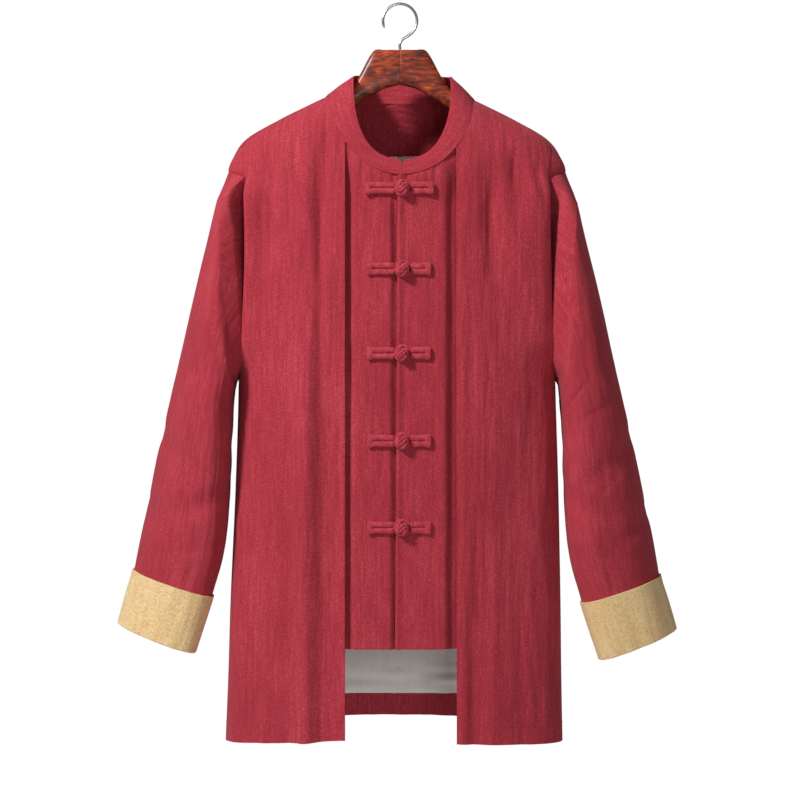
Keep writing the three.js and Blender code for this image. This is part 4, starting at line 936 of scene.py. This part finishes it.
for side in (-1, 1):
    rings, out, past = cuff_section()
    places = np.linspace(0, RING_PLACES, CUFF_AROUND, endpoint=False)
    levels = np.linspace(8.6, 10, 40)
    face, face_normal = sleeve_grid(side, levels, places)
    row = (rings - levels[0]) / (levels[1] - levels[0])
    low = np.clip(np.floor(row).astype(int), 0, len(levels) - 2)
    part = (row - low)[:, None, None]
    points = lerp(face[low], face[low + 1], part)
    normal = lerp(face_normal[low], face_normal[low + 1], part)
    lip = face[-1] - face[-2]
    lip /= np.linalg.norm(lip, axis=-1, keepdims=True)
    points = points + out[:, None, None] * normal + past[:, None, None] * lip
    name = "cuff_" + SIDE_NAME[side]
    half = len(rings) // 2
    uv = around_uv(rings, CUFF_AROUND, CUFF_RING_MM, CUFF_PLACE_MM)
    cuff = closed_shell(name + "_band", points[:half], points[half:][::-1], uv[:half], TAN_CLOTH,
                        around=True)
    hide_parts(name)
    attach(cuff, "root")

# Lining: a light grey smooth cloth inside the back, from below the neck to just above the
# hem, where it is turned in and lies in soft level creases. It shows between the inner
# fronts' hem and the back's hem.
GREY_LINING = woven(
    "grey smooth lining", colour(196, 196, 191), colour(228, 228, 222), colour(248, 248, 243),
    warp=0.35, slub=0.3, weft=0.3, wash=0.7, relief=0.12,
    constants={"Roughness": 0.5, "Specular IOR Level": 0.4, "Sheen Weight": 0.1,
               "Sheen Roughness": 0.35, "Sheen Tint": colour(240, 240, 240)})
LINING_TOP, LINING_HEM, LINING_MARGIN = -193, -937, 12
LINING_DEPTH, LINING_CLOTH = CLOTH + 4.4, 1.0
LINING_ROWS, LINING_COLUMNS = 190, 56


def lining_grid():
    """The lining's face: the back's own, folds too, a few millimetres further in, with level
    creases above its hem."""
    points, pattern = [], []
    for side in (-1, 1):
        z = np.linspace(LINING_TOP, LINING_HEM, LINING_ROWS)[:, None] + np.zeros(LINING_COLUMNS)
        armhole = length_at_reach(z, armhole_reach(z), True)
        edge = np.where(z > UNDERARM - 20, armhole, side_length(z))
        total = total_length(z)
        length = total - (total - edge - LINING_MARGIN) * np.linspace(0, 1, LINING_COLUMNS)
        points.append(body_point(side, length, z, BACK_FOLDS, BACK_RIPPLE, BACK_SEED))
        pattern.append(np.stack([side * (length - total), z], axis=-1) / 1000)
    joined = np.concatenate([points[0][:, ::-1], points[1][:, 1:]], 1)
    uv = np.concatenate([pattern[0][:, ::-1], pattern[1][:, 1:]], 1)
    x, z = joined[..., 0], joined[..., 2]
    low = smoothstep(-880, -915, z)
    wide, narrow = soft_noise(x / 70 + 9, z / 9 + 120, 5), soft_noise(x / 40, z / 5, 6)
    crease = low * (1.3 * wide + 0.7 * narrow)
    broad = 0.9 * soft_noise(x / 45 + 30, z / 110 + 20, 7)
    turned_in = 1 - smoothstep(LINING_HEM + 7, LINING_HEM, z)
    depth = LINING_DEPTH + 1.2 * turned_in * low - crease - broad
    return joined - depth[..., None] * grid_normals(joined, from_axis(joined)), uv


points, uv = lining_grid()
lining = cloth_panel("lining_back_panel", points, uv, LINING_CLOTH, GREY_LINING, from_axis(points))
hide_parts("lining_back")
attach(lining, "root")

# Frogs: five closures down the meeting edges, made of narrow tubes of the red linen. On each
# side two runs of tube lie close together, sewn flat and turned in at the outer end. The
# left pair ends in a ball knot, and the right pair opens into the loop that goes round it.
FROGS = [  # height, left end, right end, middle of the knot
    (-255, -46, 43.5, 3.5), (-360, -42.8, 40.2, 3.4), (-469.5, -42.6, 40, 3),
    (-583, -42.4, 40, 2.8), (-695, -42.4, 40.2, 2.6),
]
CORD_HALF_HEIGHT, CORD_HALF_DEPTH, CORD_FROM_MIDDLE = 3.9, 2.4, 4.0
BAND_WIDTH, BAND_HALF_HEIGHT, BAND_DEPTH = 7.0, 8.8, 5.0
KNOT_WIDTH, KNOT_DEPTH, KNOT_HEIGHT = 10.2, 6.2, 11.0
STRAND, STRAND_MIDDLE, STRAND_SWING, STRAND_WEAVE = 2.0, 4.9, 3.1, 1.4
KNOT_NARROW = 0.86
LOOP_RADIUS, LOOP_CORD, CORD_TUCK, CORD_SAG = 9.6, 2.0, 2, 0.25


def cord_tube():
    """Narrow tubes of the red linen: its fine weave by noise in two sizes, darker in the
    hollows of the noise, and a little relief."""
    constants = {"Roughness": 0.88, "Specular IOR Level": 0.25, "Sheen Weight": 0.2,
                 "Sheen Roughness": 0.5, "Sheen Tint": colour(235, 150, 155)}
    material, nodes, surface = new_material("red linen tube", constants)
    place = nodes.node("TexCoord", {}, {}, output=3)
    grain = place.node("TexNoise", {}, {"Vector": place, "Scale": 1100.0, "Detail": 2.0}) - 0.5
    patch = place.node("TexNoise", {}, {"Vector": place, "Scale": 160.0, "Detail": 3.0}) - 0.5
    tone = grain * 0.8 + patch * 1.0 + 0.5
    stops = (0.0, colour(122, 26, 38)), (0.5, colour(178, 54, 68)), (1.0, colour(214, 96, 108))
    tone.ramp(*stops).into(surface, "Base Color")
    (patch * 0.2 + constants["Roughness"]).into(surface, "Roughness")
    bump = {"Strength": 0.5, "Distance": BUMP_HEIGHT, "Height": grain + patch}
    place.node("Bump", {}, bump).into(surface, "Normal")
    return material


RED_CORD = cord_tube()


def panel_face(x, z):
    """Depth of the right inner panel's face, which the frogs lie on."""
    x, z = np.broadcast_arrays(np.asarray(x, float), np.asarray(z, float))
    half = np.where(x < ring_size(z, 1), -1, 1)
    length = length_at_reach(z, np.abs(x - ring_size(z, 1)))
    below = smoothstep(0, STEPS_BACK_OVER, NECK_FRONT - z)
    depth = lerp(right_neck_depth(np.abs(x)), PANEL_DEPTH, below)
    return body_point(half, length, z)[..., 1] + depth


def capped_tube(rings):
    """Faces of a closed tube through rings of points: quads along it and, at each end, a fan
    of triangles round the ring's middle. Gives the points and the two arrays of faces."""
    count, sides = rings.shape[:2]
    index = np.arange(count * sides).reshape(count, sides)
    after = np.roll(index, -1, axis=1)
    quads = np.stack([index[:-1], after[:-1], after[1:], index[1:]], -1).reshape(-1, 4)
    fans = np.concatenate([
        np.stack([np.full(sides, count * sides), after[0], index[0]], -1),
        np.stack([np.full(sides, count * sides + 1), index[-1], after[-1]], -1)])
    points = np.concatenate([rings.reshape(-1, 3), rings[[0, -1]].mean(axis=1)])
    if inside_out(points, quads):
        quads, fans = quads[:, ::-1], fans[:, ::-1]
    return points, quads, fans


def joined_tubes(name, tubes, material):
    """One mesh of several closed tubes."""
    sizes = np.cumsum([0] + [len(points) for points, _, _ in tubes])
    points = np.concatenate([tube[0] for tube in tubes])
    quads = np.concatenate([tube[1] + start for tube, start in zip(tubes, sizes)])
    fans = np.concatenate([tube[2] + start for tube, start in zip(tubes, sizes)])
    return build_mesh(name, points, [quads, fans], material)


def swept(path, radius, sides, up=(0, 0, 1.0)):
    """Rings of a tube: circles of a radius along a path, each square to the path, and turned
    as the up vector goes."""
    along = np.gradient(path, axis=0)
    along /= np.linalg.norm(along, axis=-1, keepdims=True)
    across = np.cross(along, np.broadcast_to(np.asarray(up, float), along.shape))
    across /= np.linalg.norm(across, axis=-1, keepdims=True)
    over = np.cross(across, along)
    angle = 2 * np.pi * np.arange(sides) / sides
    size = np.broadcast_to(radius, path.shape[:1])[:, None, None]
    return path[:, None] + size * (np.cos(angle)[:, None] * across[:, None]
                                   + np.sin(angle)[:, None] * over[:, None])


def flat_run(start, end, z):
    """A run of tube sewn flat on the panel: oval sections from one x to another, rounded off
    at both ends, and a little wavy as hand sewing leaves it."""
    x = lerp(start, end, np.linspace(0, 1, 40))
    from_end = np.minimum(np.abs(x - start), np.abs(x - end))
    size = np.sqrt(np.clip(from_end / 1.2, 0.08, 1))
    wave = CORD_SAG * soft_noise(x / 7 + z, 0 * x + z / 3, 11)
    angle = 2 * np.pi * np.arange(20) / 20
    middle = panel_face(x, z) - SEAM_GAP - CORD_HALF_DEPTH
    y = middle[:, None] + CORD_HALF_DEPTH * size[:, None] * np.sin(angle)
    up = z + wave[:, None] + CORD_HALF_HEIGHT * size[:, None] * np.cos(angle)
    return np.stack([x[:, None] + 0 * y, y, up], axis=-1)


def folded_band(start, end, z):
    """The end of the frog, turned in over both tubes: a soft upright pad a little higher and
    thicker than they are."""
    x = lerp(start, end, np.linspace(0, 1, 14))
    edge = np.minimum(np.abs(x - start), np.abs(x - end)) / abs(end - start)
    size = 0.78 + 0.22 * smoothstep(0, 0.16, edge)
    angle = 2 * np.pi * np.arange(36) / 36
    up, over = squared(np.cos(angle), 0.6), squared(np.sin(angle), 0.8)
    middle = panel_face(x, z) - SEAM_GAP - BAND_DEPTH / 2
    y = middle[:, None] + BAND_DEPTH / 2 * size[:, None] * over
    return np.stack([x[:, None] + 0 * y, y, z + BAND_HALF_HEIGHT * size[:, None] * up], axis=-1)


def ball_knot(x, z):
    """The knot: one tube woven three times round a flat ball in four bights. Its distance
    from the middle swings four times in three turns, and it goes over and under itself
    twice as often. A solid ball fills its inside."""
    turn = np.linspace(0, 6 * np.pi, 320)
    out = STRAND_MIDDLE + STRAND_SWING * np.cos(4 / 3 * turn)
    dome = np.sqrt(1 - (out / KNOT_WIDTH) ** 2)
    middle = float(panel_face(x, z)) - SEAM_GAP - KNOT_DEPTH
    y = middle - (KNOT_DEPTH - STRAND) * dome - STRAND_WEAVE * np.sin(8 / 3 * turn)
    path = np.stack([x + KNOT_NARROW * out * np.cos(turn), y,
                     z + KNOT_HEIGHT / KNOT_WIDTH * out * np.sin(turn)], axis=-1)
    latitude = np.linspace(-np.pi / 2, np.pi / 2, 22)[1:-1, None]
    angle = 2 * np.pi * np.arange(28) / 28
    core = np.stack([x + 0.84 * KNOT_NARROW * KNOT_WIDTH * np.cos(latitude) * np.cos(angle),
                     middle + 0.85 * KNOT_DEPTH * (np.sin(latitude) + 0 * angle),
                     z + 0.84 * KNOT_HEIGHT * np.cos(latitude) * np.sin(angle)], axis=-1)
    return [capped_tube(swept(path, STRAND, 12, up=(0, 1.0, 0))), capped_tube(core)]


def loop_round(x, z):
    """The loop: a thin tube from the upper run round the knot to the lower one."""
    turn = np.radians(np.linspace(24, 336, 60))
    path = np.stack([x + LOOP_RADIUS * np.cos(turn) + 0 * turn,
                     0 * turn, z + LOOP_RADIUS * np.sin(turn)], axis=-1)
    path[:, 1] = panel_face(path[:, 0], path[:, 2]) - SEAM_GAP - LOOP_CORD
    return capped_tube(swept(path, LOOP_CORD, 12, up=(0, 1.0, 0)))


for number, (z, left, right, knot) in enumerate(FROGS, start=1):
    for end, start, kind in ((left, knot - KNOT_WIDTH, "knot_half"),
                             (right, knot + KNOT_WIDTH, "loop_half")):
        inwards = np.sign(start - end)
        runs = [flat_run(start, end + inwards * CORD_TUCK, z + up * CORD_FROM_MIDDLE)
                for up in (-1, 1)]
        runs.append(folded_band(end + inwards * BAND_WIDTH, end, z))
        tubes = [capped_tube(rings) for rings in runs]
        if kind == "loop_half":
            tubes.append(loop_round(knot, z))
        half = joined_tubes(f"frog_{number}_{kind}_cords", tubes, RED_CORD)
        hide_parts(f"frog_{number}_{kind}")
        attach(half, "root")
    ball = joined_tubes(f"frog_{number}_ball_knot", ball_knot(knot, z), RED_CORD)
    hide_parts(f"frog_{number}_knot")
    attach(ball, "root")

# Topstitching: rows of red cotton thread, made by machine, that hold the folded edges down:
# beside the closing edges, above the hems, beside the shoulder seams and round the collar.
STITCH, STITCH_PITCH, THREAD, THREAD_SIDES = 2.6, 3.5, 0.32, 6
ROW_AT_CLOSING, ROW_AT_HEM, ROW_AT_SHOULDER, ROW_AT_EDGE, ROW_AT_COLLAR = 10.5, 24, 4.5, 26, 3.5


def inset(points, distance, last=False):
    """The line inside a grid's first column, or its last one, at a distance from it, with the
    cloth's normal: six numbers for each row."""
    grid = np.concatenate([points, grid_normals(points, from_axis(points))], axis=-1)
    grid = grid[:, ::-1] if last else grid
    steps = np.linalg.norm(np.diff(grid[..., :3], axis=1), axis=-1)
    walked = np.hstack([np.zeros((len(grid), 1)), np.cumsum(steps, axis=1)])
    place = np.array([np.interp(distance, row, np.arange(len(row))) for row in walked])
    row, low = np.arange(len(grid)), place.astype(int)
    return lerp(grid[row, low], grid[row, low + 1], (place - low)[:, None])


def stitch_rings(line):
    """Rings of short pointed capsules along a line, one for each stitch of the row."""
    walked = np.concatenate([[0], np.cumsum(np.linalg.norm(np.diff(line[:, :3], axis=0), axis=1))])
    starts = np.arange(1.5, walked[-1] - STITCH - 1, STITCH_PITCH)
    at = starts[:, None] + STITCH * np.array([0, 0.3, 0.7, 1])
    place = np.stack([np.interp(at, walked, line[:, k]) for k in range(6)], axis=-1)
    middle, out = place[..., :3], place[:, 1:2, 3:]
    along = middle[:, 3:] - middle[:, :1]
    across = np.cross(along, out)
    across /= np.linalg.norm(across, axis=-1, keepdims=True)
    angle = 2 * np.pi * np.arange(THREAD_SIDES) / THREAD_SIDES
    size = THREAD * np.array([0.35, 1, 1, 0.35])[:, None, None]
    turned = np.cos(angle)[:, None] * across[:, :, None] + np.sin(angle)[:, None] * out[:, :, None]
    rise = THREAD * np.array([-0.4, 0.5, 0.5, -0.4])[:, None]
    return (middle + rise * out)[:, :, None] + size * turned


def stitch_mesh(name, lines, material):
    """One mesh of all the stitches of several rows: quads round each and a face at its ends."""
    rings = np.concatenate([stitch_rings(line) for line in lines])
    count = len(rings)
    index = np.arange(rings[..., 0].size).reshape(count, 4, THREAD_SIDES)
    after = np.roll(index, -1, axis=2)
    quads = np.stack([index[:, :-1], index[:, 1:], after[:, 1:], after[:, :-1]], -1).reshape(-1, 4)
    ends = np.concatenate([index[:, 0], index[:, -1, ::-1]])
    points = rings.reshape(-1, 3)
    first = points[quads[0]]
    normal = np.cross(first[1] - first[0], first[2] - first[1])
    if np.dot(normal, first[0] - points[index[0]].mean(axis=(0, 1))) < 0:
        quads, ends = quads[:, ::-1], ends[:, ::-1]
    return build_mesh(name, points, [quads, ends], material)


rows = [inset(stitched["front_inner_right"], ROW_AT_CLOSING)]
for name, points in stitched.items():
    across = points.transpose(1, 0, 2)
    if name == "collar":
        rows += [inset(across, ROW_AT_COLLAR), inset(across, ROW_AT_COLLAR, last=True)]
    else:
        rows.append(inset(across, ROW_AT_HEM, last=True))
    if name.startswith("front_outer"):
        shoulder = points[:, -1, 2] > SHOULDER_SEAM_END
        rows += [inset(points, ROW_AT_SHOULDER, last=True)[shoulder],
                 inset(points, ROW_AT_EDGE)]
stitching = stitch_mesh("red_topstitching", rows, RED_CORD)
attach(stitching, "root")

# Hanger: two arms carved from figured hardwood, stained reddish brown and varnished, joined in
# the middle under a raised hump. The cloth rests on their tops. A steel hook stands in it.
HANGER_MIDDLE = np.array([  # distance from the middle, top, bottom, half depth
    (-0.1, -60.6, -106.5, 7.1), (1.2, -60, -107, 7.5), (20, -60, -112, 7.5),
    (34, -60.5, -119, 7.5), (42, -71, -123.5, 7.5), (52, -90, -129, 7.5),
    (62, -107, -136, 7.5), (88, -130, -153, 10),
])
HANGER_ARM = [  # distance from the middle, height, half depth, gap under the cloth
    (118, 25, 11.5, 0), (150, 26, 14, 0.6), (176, 26, 16, 1.2), (190, 22, 15, 2.2),
    (197, 13, 10, 6),
]
HANGER_SIDES, HANGER_STATIONS, HANGER_SQUARE = 48, 120, 2.2


def varnished_wood():
    """Hardwood under varnish: growth lines along the arm, bent by noise and crossed by broad
    light figure, under a clear coat."""
    constants = {"Roughness": 0.5, "Specular IOR Level": 0.35, "Coat Weight": 0.25,
                 "Coat Roughness": 0.25}
    material, nodes, surface = new_material("varnished figured hardwood", constants)
    place = nodes.node("TexCoord", {}, {}, output=3)
    bend = place.node("TexNoise", {}, {"Vector": place, "Scale": 26.0, "Detail": 3.0})
    slanted = place.node("Mapping", {}, {"Vector": place, "Rotation": (0, 0.5, 0),
                                         "Scale": (26, 60, 100)})
    lines = place.node("TexNoise", {}, {"Vector": slanted, "Scale": 2.0, "Detail": 6.0,
                                        "Roughness": 0.65, "Distortion": 1.2})
    figure = place.node("TexNoise", {}, {"Vector": slanted, "Scale": 0.7, "Detail": 2.0,
                                         "Distortion": 3.0})
    tone = lines * 1.0 + bend * 0.7 + figure * 0.9 - 0.8
    stops = ((0.12, colour(48, 14, 9)), (0.45, colour(122, 40, 20)),
             (0.7, colour(180, 72, 32)), (0.95, colour(222, 118, 58)))
    tone.ramp(*stops).into(surface, "Base Color")
    bump = {"Strength": 0.08, "Distance": 0.0004, "Height": lines}
    place.node("Bump", {}, bump).into(surface, "Normal")
    return material


WOOD = varnished_wood()


def under_ridge(side, x):
    """Height just under the cloth of the shoulder ridge, at a distance from the middle."""
    z = np.linspace(-223, -110, 2000)
    ridge = ring_size(z, 0) + side * ring_size(z, 1)
    return np.interp(x, ridge[::-1], z[::-1]) - CLOTH * 1.3 - SEAM_GAP


def hanger_arm(side):
    """One arm: rounded sections carried along it, its top just under the cloth."""
    arm = [(x, under_ridge(side, x) - ease, under_ridge(side, x) - ease - height, half)
           for x, height, half, ease in HANGER_ARM]
    table = np.concatenate([HANGER_MIDDLE, arm])
    x = np.linspace(table[0, 0], table[-1, 0], HANGER_STATIONS)
    top, bottom, half = read_table(table, x).T
    angle = 2 * np.pi * np.arange(HANGER_SIDES) / HANGER_SIDES
    up, fore = (squared(wave(angle), 2 / HANGER_SQUARE) for wave in (np.sin, np.cos))
    middle, height = (top + bottom) / 2, (top - bottom) / 2
    return np.stack([side * x[:, None] + 0 * up, half[:, None] * fore,
                     middle[:, None] + height[:, None] * up], axis=-1)


for side in (-1, 1):
    name = "hanger_arm_" + SIDE_NAME[side]
    arm = joined_tubes(name + "_wood", [capped_tube(hanger_arm(side))], WOOD)
    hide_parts(name)
    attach(arm, "root")

# Hook: one plated steel wire, bent round over the rod, with a rounded tip and a straight foot
# that is screwed into the top of the wood.
STEEL, steel_nodes, steel = new_material(
    "plated steel wire", {"Base Color": colour(206, 208, 210), "Metallic": 1.0, "Roughness": 0.22})
steel_place = steel_nodes.node("TexCoord", {}, {}, output=3)
steel_marks = steel_place.node(
    "TexNoise", {}, {"Vector": steel_place, "Scale": 420.0, "Detail": 4.0})
(steel_marks * 0.16 + 0.14).into(steel, "Roughness")
HOOK_WIRE, HOOK_RADIUS, HOOK_TIP, HOOK_TURN, STEM_FOOT = 3.6, 21, 205, -55, -59.7
HOOK_SIDES, HOOK_STEPS, TIP_STEPS = 24, 160, 8


def smooth_path(corners, count):
    """A smooth curve through the corners, by their share of the way along."""
    corners = np.asarray(corners, float)
    steps = np.linalg.norm(np.diff(corners, axis=0), axis=1)
    table = np.column_stack([np.concatenate([[0], np.cumsum(steps)]), corners])
    return read_table(table, np.linspace(0, table[-1, 0], count))


bend = HOOK_RADIUS + HOOK_WIRE / 2
turn = np.radians(np.arange(HOOK_TIP, HOOK_TURN - 1, -10.0))
arc = np.stack([bend * np.cos(turn), 0 * turn, -HOOK_RADIUS + bend * np.sin(turn)], axis=-1)
hook_path = smooth_path([*arc, (3, 0, -46.5), (0, 0, -52), (0, 0, STEM_FOOT)], HOOK_STEPS)
hook_size = np.full(HOOK_STEPS, HOOK_WIRE / 2)
hook_size[:TIP_STEPS] *= np.sqrt(1 - (1 - np.arange(TIP_STEPS) / TIP_STEPS) ** 2 * 0.96)
hook_rings = swept(hook_path, hook_size, HOOK_SIDES, up=(0, 1.0, 0))
hook = joined_tubes("hanger_hook_wire", [capped_tube(hook_rings)], STEEL)
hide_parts("hanger_hook")
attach(hook, "root")

# Camera, light and floor: the photograph's view from straight in front, a soft light from the
# upper left, an even white surround, and a pale floor below.
EYE, LENS, SENSOR = (0, -2.3, -0.53), 77.1, 36
camera = bpy.data.objects.new("camera", bpy.data.cameras.new("camera"))
camera.location = EYE
camera.rotation_euler = (np.pi / 2, 0, 0)
camera.data.lens, camera.data.sensor_width = LENS, SENSOR
bpy.context.scene.collection.objects.link(camera)
bpy.context.scene.camera = camera
bpy.context.scene.view_settings.view_transform = "Standard"


def soft_light(name, place, target, size, power):
    """A square area light at a place, turned to face a target."""
    lamp = bpy.data.lights.new(name, "AREA")
    lamp.size, lamp.energy = size, power
    holder = bpy.data.objects.new(name, lamp)
    holder.location = place
    holder.rotation_euler = (Vector(target) - Vector(place)).to_track_quat("-Z", "Y").to_euler()
    bpy.context.scene.collection.objects.link(holder)


JACKET_MIDDLE = (0, 0, -0.5)
soft_light("key", (-1.8, -1.75, 1.5), JACKET_MIDDLE, size=0.45, power=101)
soft_light("fill", (0.5, -2.4, -0.45), JACKET_MIDDLE, size=0.6, power=8)

SURROUND_LIGHT = 0.2
world = bpy.data.worlds.new("surround")
world.use_nodes = True
bpy.context.scene.world = world
surround = Shade(world.node_tree)
seen = surround.node("LightPath", {}, {})
strength = seen * (1 - SURROUND_LIGHT) + SURROUND_LIGHT
white = world.node_tree.nodes["Background"]
white.inputs["Color"].default_value = (1, 1, 1, 1)
strength.into(white, "Strength")

FLOOR_Z, FLOOR_THICK, FLOOR_RADIUS, FLOOR_SIDES = -1800, 10, 2500, 96
PALE, pale_nodes, pale = new_material("pale floor", {"Roughness": 0.8})
pale_place = pale_nodes.node("TexCoord", {}, {}, output=3)
pale_field = pale_place.node("TexNoise", {}, {"Vector": pale_place, "Scale": 3.0, "Detail": 3.0})
pale_field.blend(colour(226, 226, 225), colour(236, 236, 235)).into(pale, "Base Color")
rim = 2 * np.pi * np.arange(FLOOR_SIDES) / FLOOR_SIDES
disc = FLOOR_RADIUS * np.stack([np.cos(rim), np.sin(rim)], axis=-1)
rings = np.stack([np.column_stack([disc, np.full(FLOOR_SIDES, FLOOR_Z - drop)])
                  for drop in (0, FLOOR_THICK)])
floor = joined_tubes("floor", [capped_tube(rings)], PALE)
